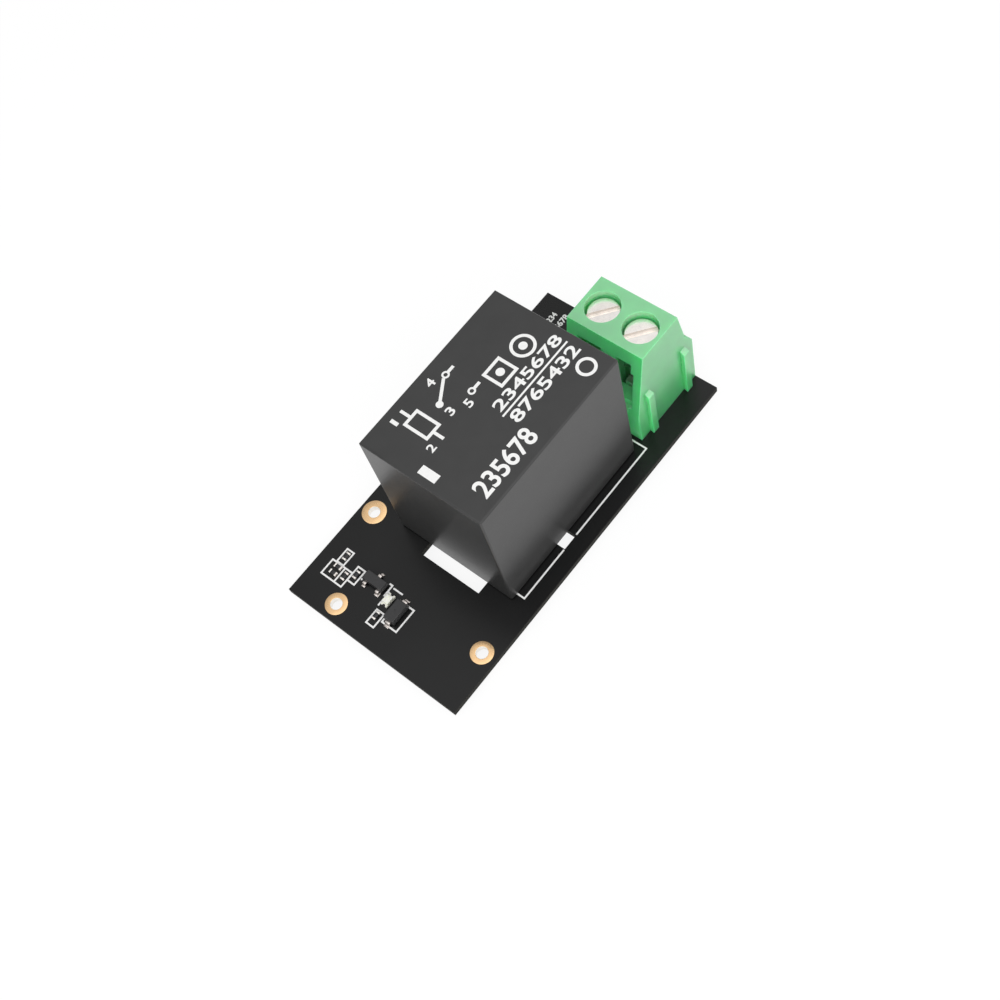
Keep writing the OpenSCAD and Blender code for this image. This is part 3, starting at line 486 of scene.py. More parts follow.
def choose_faces(piece, test):
    """Selects, in edit mode, the faces for which test(centre, normal) holds."""
    pick(piece)
    for vertex in piece.data.vertices:
        vertex.select = False
    for edge in piece.data.edges:
        edge.select = False
    for face in piece.data.polygons:
        face.select = bool(test(face.center, face.normal))
    bpy.ops.object.mode_set(mode="EDIT")
    bpy.ops.mesh.select_mode(type="FACE")


def choose_edges(piece, test):
    """Selects, in edit mode, the edges for which test(one end, other end) holds."""
    choose_faces(piece, lambda centre, normal: False)
    bpy.ops.mesh.select_mode(type="EDGE")
    leave_edit()
    for edge in piece.data.edges:
        edge.select = bool(test(*(piece.data.vertices[number].co for number in edge.vertices)))
    bpy.ops.object.mode_set(mode="EDIT")


def from_axis(place, centre):
    """Distance of a place from the upright axis through a centre."""
    return (place - centre).to_2d().length


def corners(piece):
    """Low and high corner of a piece's own mesh."""
    places = [vertex.co for vertex in piece.data.vertices]
    low = Vector(min(place[axis] for place in places) for axis in range(3))
    high = Vector(max(place[axis] for place in places) for axis in range(3))
    return low, high


def solid_boxes(node):
    """Corners of each separate solid of a CAD node, from low to high X."""
    pick(copy_of(node, "probe"))
    bpy.ops.mesh.separate(type="LOOSE")
    parts = list(bpy.context.selected_objects)
    boxes = [corners(part) for part in parts]
    for part in parts:
        bpy.data.objects.remove(part)
    return sorted(boxes, key=lambda box: (box[0].x, box[0].y))


def block(name, low, high):
    """A box between two corners, as a start for a piece."""
    deselect()
    bpy.ops.mesh.primitive_cube_add(size=1, location=(low + high) / 2, scale=high - low)
    return settle(bpy.context.object, name)


def disc(name, centre, radius, low, high, sides=64):
    """A round bar between two heights, as a start for a piece."""
    deselect()
    bpy.ops.mesh.primitive_cylinder_add(
        vertices=sides, radius=radius, depth=high - low, location=(centre.x, centre.y, (low + high) / 2))
    return settle(bpy.context.object, name)


def bore_through(piece, wall):
    """Opens an upright bar from end to end and leaves a wall of that thickness."""
    choose_faces(piece, lambda centre, normal: abs(normal.z) > LEVEL)
    bpy.ops.mesh.inset(thickness=wall)
    bpy.ops.mesh.bridge_edge_loops()
    leave_edit()


def drill(piece, centre, radius, low, high):
    """Takes an upright round bar out of a piece."""
    cutter = disc("cutter", centre, radius, low, high, sides=32)
    apply_modifier(piece, "BOOLEAN", operation="DIFFERENCE", object=cutter, solver="EXACT")
    bpy.data.objects.remove(cutter)


def cut_level(piece, height):
    """Cuts a piece along a level plane and keeps both sides."""
    edit_all(piece)
    bpy.ops.mesh.bisect(plane_co=(0.0, 0.0, height), plane_no=(0.0, 0.0, 1.0), threshold=TINY)
    leave_edit()


def join(name, pieces):
    """Makes one object of several."""
    pick(*pieces)
    if len(pieces) > 1:
        bpy.ops.object.join()
    joined = bpy.context.object
    joined.name = name
    joined.data.name = name
    return joined


def dress(piece, node, *finishes):
    """Gives a piece its finishes, and the body of the CAD node that it belongs to."""
    while len(piece.data.materials) < len(finishes):
        piece.data.materials.append(None)
    for number, name in enumerate(finishes):
        piece.data.materials[number] = FINISHES[name]
    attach(piece, frame["nodes"][node]["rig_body"])


def replace(node, piece, *finishes):
    """Dresses a piece that takes the place of a CAD node."""
    dress(piece, node, *finishes)
    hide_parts(node)


def finish_node(node, finish):
    """Gives a CAD node that stays its own finish."""
    frame["nodes"][node].material_slots[0].material = FINISHES[finish]


def softened_copy(node, name, width, *finishes, segments=2):
    """Replaces a CAD node with a rounded copy. A second finish covers the rounded strips; the terminal's is
    a painted highlight.
    """
    piece = copy_of(node, name)
    for finish in finishes:
        piece.data.materials.append(FINISHES[finish])
    soften(piece, width, segments, edge_slot=1 if len(finishes) > 1 else -1)
    smooth(piece)
    replace(node, piece, *finishes)
    return piece


# Print


class Print:
    """Printed marks on one level face, each a hair over the one before, so that no two faces coincide."""

    def __init__(self, top, ink):
        self.top = top
        self.ink = ink
        self.marks = []

    def levels(self):
        """Underside and top of the next mark."""
        return self.top - self.ink / 4, self.top + self.ink * (1 + 0.01 * len(self.marks))

    def bar(self, x0, y0, x1, y1):
        """A full bar between two corners in board millimetres."""
        low, high = on_board(x0, y0), on_board(x1, y1)
        low.z, high.z = self.levels()
        self.marks.append(block("bar", low, high))

    def stroke(self, x0, y0, x1, y1, width):
        """A line of that width between two places in board millimetres."""
        start, end = on_board(x0, y0), on_board(x1, y1)
        run = end - start
        low, high = self.levels()
        deselect()
        bpy.ops.mesh.primitive_cube_add(
            size=1, location=((start.x + end.x) / 2, (start.y + end.y) / 2, (low + high) / 2),
            rotation=(0.0, 0.0, math.atan2(run.y, run.x)), scale=(run.length + width, width, high - low))
        self.marks.append(settle(bpy.context.object, "stroke"))

    def box_outline(self, x0, y0, x1, y1, width):
        """A rectangle drawn with a line: a bar whose middle is inset and taken out."""
        self.bar(x0, y0, x1, y1)
        bore_through(self.marks[-1], width)

    def ring(self, x, y, radius, width=0):
        """A ring round a place in board millimetres. Without a width it is a full dot."""
        low, high = self.levels()
        made = disc("ring", on_board(x, y), radius * MM, low, high, sides=48)
        if width > 0:
            bore_through(made, width)
        self.marks.append(made)

    def digits(self, text, x0, y0, x1, y1, weight=0.02):
        """Plain numbers that fill a box given in board millimetres."""
        deselect()
        bpy.ops.object.text_add()
        letters = bpy.context.object.data
        letters.body = text
        letters.offset = weight
        letters.extrude = 0.5
        letters.resolution_u = 6
        bpy.ops.object.convert(target="MESH")
        number = bpy.context.object
        low, high = corners(number)
        start = on_board(x0, y0)
        reach = on_board(x1, y1) - start
        start.z, top = self.levels()
        size = high - low
        number.scale = (reach.x / size.x, reach.y / size.y, (top - start.z) / size.z)
        number.location = start - low * Vector(number.scale)
        self.marks.append(settle(number, "digits"))

    def done(self, name):
        """All the marks as one piece."""
        return join(name, self.marks)


# Operators


class RELAY_OT_circuit_board(bpy.types.Operator):
    """Gives the board its mask over laminate and lays the two masked power tracks under it"""

    bl_idname = "relay_module.circuit_board"
    bl_label = "Circuit board"

    def execute(self, context):
        finish_node("circuit_board", "mask")
        copper = context.scene.relay_details.copper
        common, _, _, near_contact, _, near_pole, far_pole = self.pins()
        tracks = [
            self.track(common, far_pole, 3.6 * MM, copper),
            self.track(near_contact, near_pole, 3.2 * MM, copper),
        ]
        dress(join("power_tracks", tracks), "circuit_board", "mask")
        return {"FINISHED"}

    @staticmethod
    def pins():
        """Middles of the seven pins by their X: common, two coil ends, two contacts and two poles."""
        return [(low + high) / 2 for low, high in solid_boxes("solder_joints")]

    @staticmethod
    def track(start, end, width, copper):
        """A broad track with rounded ends, under the mask of the board's underside."""
        margin = Vector((width / 2, width / 2, 0.0))
        low = Vector(map(min, start, end)) - margin
        high = Vector(map(max, start, end)) + margin
        low.z, high.z = BOARD_LOW.z - copper, BOARD_LOW.z + copper
        piece = block("track", low, high)
        choose_edges(piece, lambda one, other: abs(one.z - other.z) > copper)
        corner, rim = 0.45 * width, 0.8 * copper
        bpy.ops.mesh.bevel(offset=corner, segments=8)
        leave_edit()
        soften(piece, rim, segments=3, angle=60.0)
        smooth(piece)
        return piece


class RELAY_OT_plated_holes(bpy.types.Operator):
    """Turns the lands and the plating of the three large holes from a bar"""

    bl_idname = "relay_module.plated_holes"
    bl_label = "Plated holes"

    def execute(self, context):
        plating = context.scene.relay_details.plating
        low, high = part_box("hole_lands")
        finishes = ("gold", "gold_edge", "bore")
        spools = []
        for mount in frame["record"]["mounts"]:
            if mount["kind"] == "bore":
                bore = mount["dims"]["r_mm"] * MM
                spools.append(self.spool(Vector(mount["pos_m"]), bore, plating, low.z, high.z, finishes))
        piece = join("plated_hole_rims", spools)
        face_out(piece)
        # The rounded rims of the lands take the second, lighter gold finish: a painted highlight.
        soften(piece, 0.8 * (high.z - BOARD_HIGH.z), segments=3, edge_slot=1)
        smooth(piece)
        replace("hole_lands", piece, *finishes)
        return {"FINISHED"}

    @staticmethod
    def spool(centre, bore, plating, low, high, finishes):
        """The plating of one hole, whose ends grow out into the lands over and under the board."""
        spool = disc("spool", centre, bore, low, high, sides=96)
        bore_through(spool, plating)
        cut_level(spool, BOARD_LOW.z)
        cut_level(spool, BOARD_HIGH.z)
        middle = bore - plating / 2
        choose_faces(spool, lambda at, normal: abs(normal.z) < UPRIGHT and from_axis(at, centre) > middle
                     and not BOARD_LOW.z < at.z < BOARD_HIGH.z)
        next_land = 2.0 * MM
        offsets = [from_axis(v.co, centre) for v in frame["nodes"]["hole_lands"].data.vertices]
        growth = max(offset for offset in offsets if offset < next_land) / bore
        bpy.ops.mesh.extrude_region_move()
        bpy.ops.transform.resize(value=(growth, growth, 1.0), center_override=centre)
        leave_edit()
        for name in finishes:
            spool.data.materials.append(FINISHES[name])
        for face in spool.data.polygons:
            if abs(face.normal.z) < UPRIGHT and from_axis(face.center, centre) < middle:
                face.material_index = finishes.index("bore")
        return spool


class RELAY_OT_solder_joints(bpy.types.Operator):
    """Smooths the solder joints under the board and sets each on its land"""

    bl_idname = "relay_module.solder_joints"
    bl_label = "Solder joints"

    def execute(self, context):
        piece = copy_of("solder_joints", "solder_fillets")
        smooth(piece, angle=50.0)
        replace("solder_joints", piece, "solder")
        copper = context.scene.relay_details.copper
        shown, width, drop = 0.3 * MM, 0.6 * MM, 1.6 * copper
        lands = []
        for low, high in solid_boxes("solder_joints"):
            radius = (high.x - low.x) / 2 + shown
            land = disc("land", (low + high) / 2, radius, BOARD_LOW.z - drop, BOARD_LOW.z + copper)
            bore_through(land, width)
            soften(land, 0.5 * copper, segments=3)
            smooth(land)
            lands.append(land)
        dress(join("solder_lands", lands), "solder_joints", "solder")
        return {"FINISHED"}


class RELAY_OT_relay_case(bpy.types.Operator):
    """Gives the relay's case and base their moulded finish"""

    bl_idname = "relay_module.relay_case"
    bl_label = "Relay case"

    def execute(self, context):
        piece = copy_of("relay_case", "relay_cover")
        smooth(piece)
        replace("relay_case", piece, "case")
        finish_node("relay_base", "base")
        return {"FINISHED"}


class RELAY_OT_relay_coil(bpy.types.Operator):
    """Winds the coil and finishes the bobbin, core, yoke and coil pins"""

    bl_idname = "relay_module.relay_coil"
    bl_label = "Relay coil"

    def execute(self, context):
        self.winding(context.scene.relay_details.wire)
        finish_node("coil_bobbin", "bobbin")
        finish_node("iron_core", "iron")
        finish_node("coil_pins", "pin")
        softened_copy("yoke", "yoke_plate", context.scene.relay_edges.stamped, "iron")
        return {"FINISHED"}

    @staticmethod
    def winding(pitch):
        """A tube whose outside is drawn in between the turns of wire."""
        low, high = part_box("coil_winding")
        centre = (low + high) / 2
        radius = (high.x - low.x) / 2
        inner = min(from_axis(v.co, centre) for v in frame["nodes"]["coil_winding"].data.vertices)
        turns = round((high.z - low.z) / pitch)
        coil = disc("coil_turns", centre, radius, low.z, high.z, sides=72)
        bore_through(coil, radius - inner)
        step = (high.z - low.z) / turns
        for half_turn in range(1, 2 * turns):
            cut_level(coil, low.z + step * half_turn / 2)

        outside, near_whole, groove = 1.2 * inner, 0.1, 0.22 * step

        def between_turns(place):
            height = (place.z - low.z) / step
            return abs(height - round(height)) < near_whole and from_axis(place, centre) > outside

        choose_edges(coil, lambda one, other: between_turns(one) and between_turns(other))
        drawn = 1 - groove / radius
        bpy.ops.transform.resize(value=(drawn, drawn, 1.0), center_override=centre)
        leave_edit()
        smooth(coil, angle=70.0)
        replace("coil_winding", coil, "wire")


class RELAY_OT_relay_contacts(bpy.types.Operator):
    """Finishes the armature, its leaf and hinge spring, the blades, contacts and rivets"""

    bl_idname = "relay_module.relay_contacts"
    bl_label = "Relay contacts"

    def execute(self, context):
        stamped = context.scene.relay_edges.stamped
        for node, name, finish in (
            ("armature", "armature_plate", "iron"),
            ("com_terminal", "common_blade", "copper"),
            ("no_terminal", "open_blade", "copper"),
            ("nc_terminal", "closed_blade", "copper"),
            ("hinge_spring", "hinge_leaf", "bronze"),
            ("contact_leaf", "moving_leaf", "bronze"),
        ):
            softened_copy(node, name, stamped, finish)
        for node in ("spring_rivets", "leaf_rivets"):
            finish_node(node, "rivet")
        for node in ("moving_contact", "no_contact", "nc_contact"):
            finish_node(node, "silver")
        return {"FINISHED"}


class RELAY_OT_terminal_housing(bpy.types.Operator):
    """Rounds the terminal's moulded edges and gives it its green plastic, painted lighter on the rounded
    edges as a highlight
    """

    bl_idname = "relay_module.terminal_housing"
    bl_label = "Terminal housing"

    def execute(self, context):
        width = context.scene.relay_edges.terminal
        # The rounded edge strips take the second, lighter green finish: a painted highlight.
        softened_copy("terminal_housing", "terminal_body", width, "terminal", "terminal_edge")
        return {"FINISHED"}


class RELAY_OT_clamp_screws(bpy.types.Operator):
    """Makes the two terminal screws: slotted heads on real threads"""

    bl_idname = "relay_module.clamp_screws"
    bl_label = "Clamp screws"

    def execute(self, context):
        for number in (1, 2):
            self.screw(number, context.scene.relay_details, context.scene.relay_edges.screw)
        return {"FINISHED"}

    def screw(self, number, details, edge):
        """One screw: the frame's slotted head, cut off at its seat, on a real thread."""
        node = f"clamp_screw_{number}"
        low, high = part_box(node)
        centre = (low + high) / 2
        places = [v.co for v in frame["nodes"][node].data.vertices]
        head_rim = 0.9 * (high.x - low.x) / 2
        seat = min(v.z for v in places if from_axis(v, centre) > head_rim)
        thread_radius = max(from_axis(v, centre) for v in places if v.z < seat - details.thread_pitch)
        head = copy_of(node, f"screw_{number}")
        edit_all(head)
        bpy.ops.mesh.bisect(plane_co=(0.0, 0.0, seat + TINY), plane_no=(0.0, 0.0, 1.0), clear_inner=True,
                            use_fill=True, threshold=TINY)
        leave_edit()
        soften(head, edge, segments=3)
        piece = join(f"screw_{number}", [head, self.thread(centre, thread_radius, low.z, seat, details)])
        smooth(piece)
        replace(node, piece, f"nickel_{number}")

    @staticmethod
    def thread(centre, radius, low, high, details):
        """A core with a chamfered tip, and a three-sided ridge that the screw modifier winds round it."""
        pitch, depth = details.thread_pitch, details.thread_depth
        core = disc("core", centre, radius - depth, low, high, sides=48)
        soften(core, depth, segments=1, angle=60.0)
        ridge_radius = depth / 1.5  # A three-sided ridge is 1.5 times its radius high
        ridge_width = 0.95 * pitch
        deselect()
        bpy.ops.mesh.primitive_circle_add(
            vertices=3, radius=ridge_radius, location=(radius - ridge_radius, 0.0, pitch / 2),
            rotation=(math.pi / 2, math.pi / 2, 0.0))
        bpy.context.object.scale.x = ridge_width / (math.sqrt(3) * ridge_radius)
        ridge = settle(bpy.context.object, "ridge")
        turns = math.floor((high - low) / pitch) - 1
        apply_modifier(ridge, "SCREW", axis="Z", angle=2 * math.pi, screw_offset=pitch, iterations=turns,
                       steps=36, render_steps=36)
        edit_all(ridge)
        bpy.ops.mesh.fill_holes(sides=3)
        leave_edit()
        ridge.location = (centre.x, centre.y, low)
        settle(ridge, "ridge")
        face_out(ridge)
        return join("thread", [core, ridge])


class RELAY_OT_wire_clamps(bpy.types.Operator):
    """Rounds and plates the rising clamps and the current bars"""

    bl_idname = "relay_module.wire_clamps"
    bl_label = "Wire clamps"

    def execute(self, context):
        stamped = context.scene.relay_edges.stamped
        for number in (1, 2):
            softened_copy(f"wire_clamp_{number}", f"clamp_cage_{number}", 2 * stamped, "zinc", segments=3)
            softened_copy(f"current_bar_{number}", f"bar_{number}", stamped, "pin")
        return {"FINISHED"}


class RELAY_OT_small_solder(bpy.types.Operator):
    """Lays the hollow solder fillets at the feet of the transistor and the diode"""

    bl_idname = "relay_module.small_solder"
    bl_label = "Solder of the small parts"

    def execute(self, context):
        for leads, body, climb, reach in (
            ("transistor_leads", "transistor_body", 0.12, 0.09),
            ("diode_leads", "diode_body", 0.16, 0.12),
        ):
            low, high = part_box(body)
            middle = (low + high) / 2
            fillets = [
                self.fillet(low, high, (low + high) / 2 - middle, climb * MM, reach * MM)
                for low, high in solid_boxes(leads)]
            dress(join(leads + "_solder", fillets), leads, "tin")
        return {"FINISHED"}

    @staticmethod
    def fillet(low, high, outward, climb, reach):
        """Solder that climbs a foot's outer end in a hollow curve."""
        along = 0 if abs(outward.x) > abs(outward.y) else 1
        sign = 1 if outward[along] > 0 else -1
        face = high[along] if sign > 0 else low[along]
        rim = face + sign * reach
        start, end = low.copy(), high.copy()
        start[along], end[along] = sorted((face - sign * climb / 2, rim))
        start.z, end.z = BOARD_HIGH.z, BOARD_HIGH.z + climb
        piece = block("fillet", start, end)

        def upper_rim(place):
            return place.z > BOARD_HIGH.z + climb / 2 and abs(place[along] - rim) < reach / 9

        choose_edges(piece, lambda one, other: upper_rim(one) and upper_rim(other))
        size, hollow = 0.9 * min(climb, reach), 0.12
        bpy.ops.mesh.bevel(offset=size, segments=5, profile=hollow)
        leave_edit()
        soften(piece, 0.015 * MM)
        smooth(piece, angle=50.0)
        return piece


class RELAY_OT_chip_resistors(bpy.types.Operator):
    """Makes the chip resistors: a ceramic bar between two end caps whose tin is drawn in to a waist"""

    bl_idname = "relay_module.chip_resistors"
    bl_label = "Chip resistors"

    def execute(self, context):
        edge = context.scene.relay_edges.chip
        boxes = solid_boxes("resistor_caps")
        caps = [self.cap(low, high, edge) for low, high in boxes]
        replace("resistor_caps", join("chip_caps", caps), "cap")
        cap_length = min(min(high.x - low.x, high.y - low.y) for low, high in boxes)
        bars = [self.bar(low, high, cap_length, edge) for low, high in solid_boxes("resistor_bodies")]
        replace("resistor_bodies", join("chip_bodies", bars), "ceramic")
        return {"FINISHED"}

    @staticmethod
    def cap(low, high, edge):
        """An end cap, cut across its middle and drawn in there."""
        size = high - low
        along = 0 if size.x < size.y else 1
        centre = (low + high) / 2
        across = Vector((along, 1 - along, 0.0))
        piece = block("cap", low, high)
        edit_all(piece)
        bpy.ops.mesh.bisect(plane_co=centre, plane_no=across, threshold=TINY)
        choose_edges(piece, lambda one, other: abs((one - centre).dot(across)) < TINY
                     and abs((other - centre).dot(across)) < TINY)
        waist = [1.0, 1.0, 1.0]
        waist[along] = 0.7
        bpy.ops.transform.resize(value=waist, center_override=centre)
        leave_edit()
        soften(piece, edge)
        smooth(piece)
        return piece

    @staticmethod
    def bar(low, high, cap_length, edge):
        """The ceramic bar, a little lower and narrower than its caps, which it reaches into."""
        size = high - low
        along = 0 if size.x > size.y else 1
        step = 0.01 * MM
        margin = Vector((step, step, 0.0))
        margin[along] = -cap_length / 2
        start, end = low + margin, high - margin
        end.z -= step
        piece = block("bar", start, end)
        soften(piece, edge)
        smooth(piece)
        return piece


class RELAY_OT_transistor(bpy.types.Operator):
    """Rounds the driver transistor and its leads"""

    bl_idname = "relay_module.transistor"
    bl_label = "Transistor"

    def execute(self, context):
        edges = context.scene.relay_edges
        softened_copy("transistor_body", "transistor_moulding", edges.body, "epoxy", segments=3)
        softened_copy("transistor_leads", "transistor_legs", edges.chip, "tin")
        return {"FINISHED"}


class RELAY_OT_indicator_light(bpy.types.Operator):
    """Finishes the indicator light's base, lens and end pads with their half round notches"""

    bl_idname = "relay_module.indicator_light"
    bl_label = "Indicator light"

    def execute(self, context):
        finish_node("light_base", "substrate")
        softened_copy("light_lens", "light_dome", context.scene.relay_edges.body, "resin", segments=4)
        pads = copy_of("light_pads", "light_ends")
        low, high = corners(pads)
        clear, notch_radius = 0.1 * MM, 0.13 * MM
        for x in (low.x, high.x):
            drill(pads, Vector((x, (low.y + high.y) / 2, 0.0)), notch_radius, low.z - clear, high.z + clear)
        smooth(pads)
        replace("light_pads", pads, "pad")
        return {"FINISHED"}


class RELAY_OT_diode(bpy.types.Operator):
    """Rounds the diode and its leads, and cuts the ejector's round mark into its top"""

    bl_idname = "relay_module.diode"
    bl_label = "Diode"

    def execute(self, context):
        edges = context.scene.relay_edges
        moulding = softened_copy("diode_body", "diode_moulding", edges.body, "epoxy", segments=3)
        low, high = corners(moulding)
        clear, mark_radius, mark_depth = 0.1 * MM, 0.13 * MM, 0.05 * MM
        drill(moulding, (low + high) / 2, mark_radius, high.z - mark_depth, high.z + clear)
        smooth(moulding)
        softened_copy("diode_leads", "diode_legs", edges.chip, "tin")
        return {"FINISHED"}


class RELAY_OT_board_print(bpy.types.Operator):
    """Prints the part outlines and plain numbers on the board"""

    bl_idname = "relay_module.board_print"
    bl_label = "Board print"

    def execute(self, context):
        line = context.scene.relay_print.line
        mark = Print(BOARD_HIGH.z, context.scene.relay_print.ink)
        for chip in (
            (3.62, 21.13, 5.84, 23.32),
            (5.74, 21.54, 7.79, 22.77),
            (3.62, 20.02, 5.84, 21.33),
            (4.68, 18.92, 6.84, 20.2),
            (2.1, 13.64, 4.17, 14.95),
        ):
            mark.box_outline(*chip, line)
        for ends in (
            (4.6, 15.05, 6.4, 15.05),
            (5.8, 15.25, 7.25, 15.25),
            (7.25, 15.25, 7.25, 15.6),
            (7.08, 13.65, 7.08, 14.85),
            (3.28, 11.25, 3.28, 13.4),
            (3.28, 13.4, 3.65, 13.4),
            (3.28, 11.25, 6.37, 11.25),
            (6.37, 11.25, 6.37, 13.3),
        ):
            mark.stroke(*ends, line)
        mark.ring(5.83, 18.73, 0.14)
        self.relay_outline(mark, line)
        mark.digits("234", 44.6, 21.9, 46.1, 22.7, weight=0.03)
        mark.digits("5678", 44.35, 20.5, 46.6, 21.35, weight=0.03)
        dress(mark.done("board_print"), "circuit_board", "ink")
        return {"FINISHED"}

    @staticmethod
    def relay_outline(mark, width):
        """The relay's outline, open where the side slots cross it."""
        left, right, near, far = 14.6, 37.05, 2.0, 18.5
        slot_left, slot_right = 21.6, 24.05
        for ends in (
            (left, near, slot_left, near),
            (slot_right, near, right, near),
            (right, near, right, far),
            (slot_right, far, right, far),
            (left, far, slot_left, far),
            (left, near, left, far),
        ):
            mark.stroke(*ends, width)


class RELAY_OT_relay_print(bpy.types.Operator):
    """Prints a plain pin diagram and plain numbers on the relay's top"""

    bl_idname = "relay_module.relay_print"
    bl_label = "Relay print"

    def execute(self, context):
        line = context.scene.relay_print.bold_line
        mark = Print(RELAY_TOP, context.scene.relay_print.ink)
        mark.bar(14.55, 9.7, 15.6, 12.0)
        self.pin_diagram(mark, line)
        mark.box_outline(27.0, 10.95, 29.8, 13.75, line)
        mark.ring(28.4, 12.35, 0.5)
        mark.ring(32.2, 12.35, 1.45, line)
        mark.ring(32.2, 12.35, 0.5)
        mark.digits("2345678", 24.67, 9.2, 35.1, 10.6)
        mark.stroke(24.5, 8.76, 35.0, 8.76, 0.6 * line)
        mark.digits("8765432", 24.67, 6.85, 35.1, 8.35)
        mark.digits("235678", 16.2, 4.1, 24.7, 6.38)
        mark.ring(33.75, 5.2, 1.15, line)
        dress(mark.done("relay_print"), "relay_case", "ink")
        return {"FINISHED"}

    @staticmethod
    def pin_diagram(mark, line):
        """Coil with two ends, and a change-over contact with its three ends, numbered 1 to 5."""
        mark.box_outline(17.9, 13.5, 20.2, 16.9, line)
        mark.stroke(19.05, 17.0, 19.05, 18.0, line)
        mark.stroke(19.05, 12.4, 19.05, 13.4, line)
        mark.digits("1", 17.4, 17.3, 17.85, 18.3)
        mark.digits("2", 17.1, 12.1, 17.9, 13.1)
        mark.ring(21.9, 15.2, 0.42)
        mark.stroke(21.9, 15.2, 24.4, 16.8, line)
        for y in (17.0, 13.4):
            mark.ring(25.0, y, 0.45, 0.6 * line)
            mark.stroke(25.6, y, 26.1, y, line)
        mark.digits("3", 21.5, 13.2, 22.3, 14.3)
        mark.digits("4", 22.9, 17.2, 23.8, 18.3)
        mark.digits("5", 23.3, 12.2, 24.1, 13.3)


class RELAY_OT_stage(bpy.types.Operator):
    """Sets the pale floor, the soft light and the camera"""

    bl_idname = "relay_module.stage"
    bl_label = "Stage"

    def execute(self, context):
        stage = context.scene.relay_stage
        self.floor(stage)
        self.sky(context, stage)
        key_place, fill_place = (-0.11, -0.145, 0.26), (-0.25, -0.04, 0.12)
        self.lamp("key_light", key_place, stage.key, stage.key_size)
        fill = self.lamp("fill_light", fill_place, stage.fill, stage.key_size)
        self.light_only(fill, "terminal_body")
        self.camera(context, stage)
        return {"FINISHED"}

    @staticmethod
    def seen(nodes, path):
        """1 for camera, glossy and transmission rays, and 0 for the rays that carry soft light."""
        direct = nodes.calculate("ADD", path["Is Camera Ray"], path["Is Glossy Ray"])
        return nodes.calculate("ADD", direct, path["Is Transmission Ray"], use_clamp=True)

    def floor(self, stage):
        """Pale paper that takes shadows, but glows a little where it is seen."""
        grains_per_metre, greys, white = 400.0, (0.86, 0.88), 1.05
        deselect()
        bpy.ops.mesh.primitive_plane_add(size=stage.floor)
        floor = settle(bpy.context.object, "floor")
        paper = bpy.data.materials.new("floor_paper")
        paper.use_nodes = True
        paper.node_tree.nodes.clear()
        nodes = Nodes(paper.node_tree)
        place = nodes.add("ShaderNodeTexCoord").outputs["Object"]
        grain = nodes.add("ShaderNodeTexNoise", {"Vector": place, "Scale": grains_per_metre}).outputs["Fac"]
        tone = nodes.add("ShaderNodeValToRGB", {"Fac": grain})
        for element, grey in zip(tone.color_ramp.elements, greys):
            element.color = (grey, grey, grey, 1.0)
        diffuse = nodes.add("ShaderNodeBsdfDiffuse", {"Color": tone.outputs["Color"]})
        glow = nodes.add("ShaderNodeEmission", {"Strength": white})
        path = nodes.add("ShaderNodeLightPath").outputs
        share = nodes.calculate("MULTIPLY", self.seen(nodes, path), stage.floor_glow)
        mix = nodes.add("ShaderNodeMixShader", {
            "Fac": share, 1: diffuse.outputs["BSDF"], 2: glow.outputs["Emission"]})
        nodes.add("ShaderNodeOutputMaterial", {"Surface": mix.outputs["Shader"]})
        floor.data.materials.append(paper)

    def sky(self, context, stage):
        """Even light, a sky that glossy faces mirror brighter over the camera, and a white backdrop."""
        world = bpy.data.worlds.new("studio")
        world.use_nodes = True
        nodes = Nodes(world.node_tree)
        light = nodes.tree.nodes["Background"]
        light.inputs["Color"].default_value = (1.0, 1.0, 1.0, 1.0)
        towards_bright, soft_edge = (-0.08, -0.89, 0.44), 0.25
        way = {0: nodes.add("ShaderNodeTexCoord").outputs["Generated"], 1: towards_bright}
        slope = nodes.add("ShaderNodeVectorMath", way, operation="DOT_PRODUCT").outputs["Value"]
        mirrored = nodes.ramp(slope, stage.dim_sky, stage.bright_sky, -soft_edge, soft_edge)
        path = nodes.add("ShaderNodeLightPath").outputs
        strength = nodes.ramp(self.seen(nodes, path), stage.sky, mirrored)
        backdrop = nodes.ramp(path["Is Camera Ray"], strength, 1.0)
        nodes.tree.links.new(backdrop, light.inputs["Strength"])
        context.scene.world = world

    @staticmethod
    def lamp(name, place, power, size):
        """A soft square lamp that points at the module and that no surface mirrors."""
        deselect()
        bpy.ops.object.light_add(type="AREA", location=place)
        lamp = bpy.context.object
        lamp.name = name
        lamp.visible_glossy = False
        lamp.data.size = size
        lamp.data.energy = power
        lamp.rotation_euler = (-lamp.location).to_track_quat("-Z", "Y").to_euler()
        return lamp

    @staticmethod
    def light_only(lamp, piece):
        """Links a lamp to one piece: it lights nothing else, and nothing else shades it."""
        group = bpy.data.collections.new(lamp.name)
        group.objects.link(bpy.data.objects[piece])
        lamp.light_linking.receiver_collection = group
        lamp.light_linking.blocker_collection = group

    @staticmethod
    def camera(context, stage):
        """The photo's camera, aimed at a place on the board's top face."""
        aim = Vector((-1.5195 * MM, -0.5949 * MM, BOARD_HIGH.z))
        flat = math.cos(stage.elevation)
        back = Vector((
            math.sin(stage.azimuth) * flat, -math.cos(stage.azimuth) * flat, math.sin(stage.elevation)))
        deselect()
        bpy.ops.object.camera_add(location=aim + back * stage.distance)
        camera = bpy.context.object
        camera.name = "photo_camera"
        camera.data.lens = stage.lens
        camera.data.clip_start = 0.01
        camera.rotation_mode = "QUATERNION"
        camera.rotation_quaternion = Quaternion(back, stage.roll) @ (-back).to_track_quat("-Z", "Y")
        context.scene.camera = camera


# Add-on


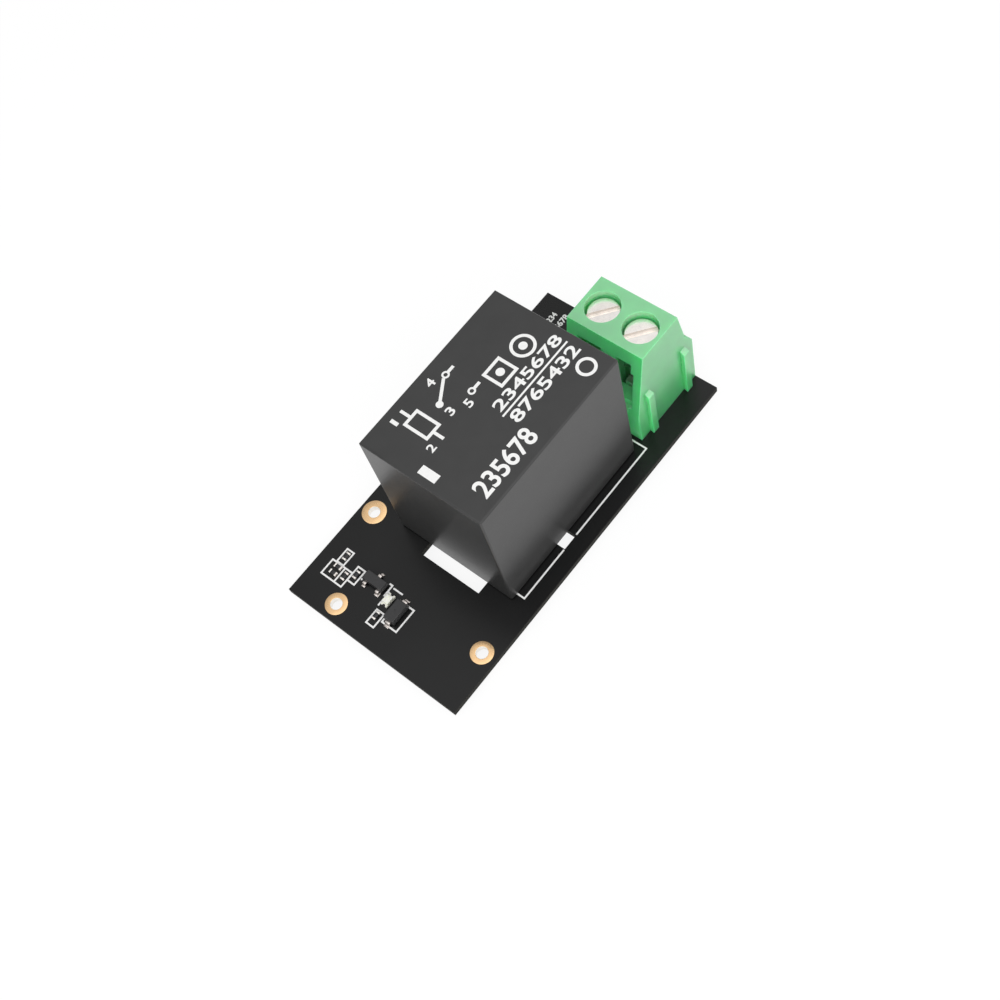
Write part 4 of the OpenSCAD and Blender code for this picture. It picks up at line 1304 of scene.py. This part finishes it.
SETTINGS = {
    "relay_edges": EdgeSettings,
    "relay_details": DetailSettings,
    "relay_print": PrintSettings,
    "relay_colours": ColourSettings,
    "relay_stage": StageSettings,
}
OPERATORS = (
    RELAY_OT_circuit_board,
    RELAY_OT_plated_holes,
    RELAY_OT_solder_joints,
    RELAY_OT_relay_case,
    RELAY_OT_relay_coil,
    RELAY_OT_relay_contacts,
    RELAY_OT_terminal_housing,
    RELAY_OT_clamp_screws,
    RELAY_OT_wire_clamps,
    RELAY_OT_small_solder,
    RELAY_OT_chip_resistors,
    RELAY_OT_transistor,
    RELAY_OT_indicator_light,
    RELAY_OT_diode,
    RELAY_OT_board_print,
    RELAY_OT_relay_print,
    RELAY_OT_stage,
)


class RELAY_PT_module(bpy.types.Panel):
    """Lists the steps that dress the module"""

    bl_label = "Relay module"
    bl_idname = "RELAY_PT_module"
    bl_space_type = "VIEW_3D"
    bl_region_type = "UI"
    bl_category = "Relay module"

    def draw(self, context):
        for operator in OPERATORS:
            self.layout.operator(operator.bl_idname)
        for name in SETTINGS:
            group = getattr(context.scene, name)
            column = self.layout.column(heading=name)
            for setting in group.bl_rna.properties:
                if setting.identifier not in {"rna_type", "name"}:
                    column.prop(group, setting.identifier)


def register():
    for name, group in SETTINGS.items():
        bpy.utils.register_class(group)
        setattr(bpy.types.Scene, name, bpy.props.PointerProperty(type=group))
    for operator in OPERATORS:
        bpy.utils.register_class(operator)
    bpy.utils.register_class(RELAY_PT_module)


def unregister():
    bpy.utils.unregister_class(RELAY_PT_module)
    for operator in reversed(OPERATORS):
        bpy.utils.unregister_class(operator)
    for name, group in reversed(list(SETTINGS.items())):
        delattr(bpy.types.Scene, name)
        bpy.utils.unregister_class(group)


def main():
    register()
    bpy.context.scene.view_settings.view_transform = "Standard"
    FINISHES.update(make_finishes(bpy.context.scene.relay_colours))
    for operator in OPERATORS:
        step = getattr(bpy.ops.relay_module, operator.bl_idname.split(".")[1])
        step()
    deselect()


if __name__ == "__main__":
    main()
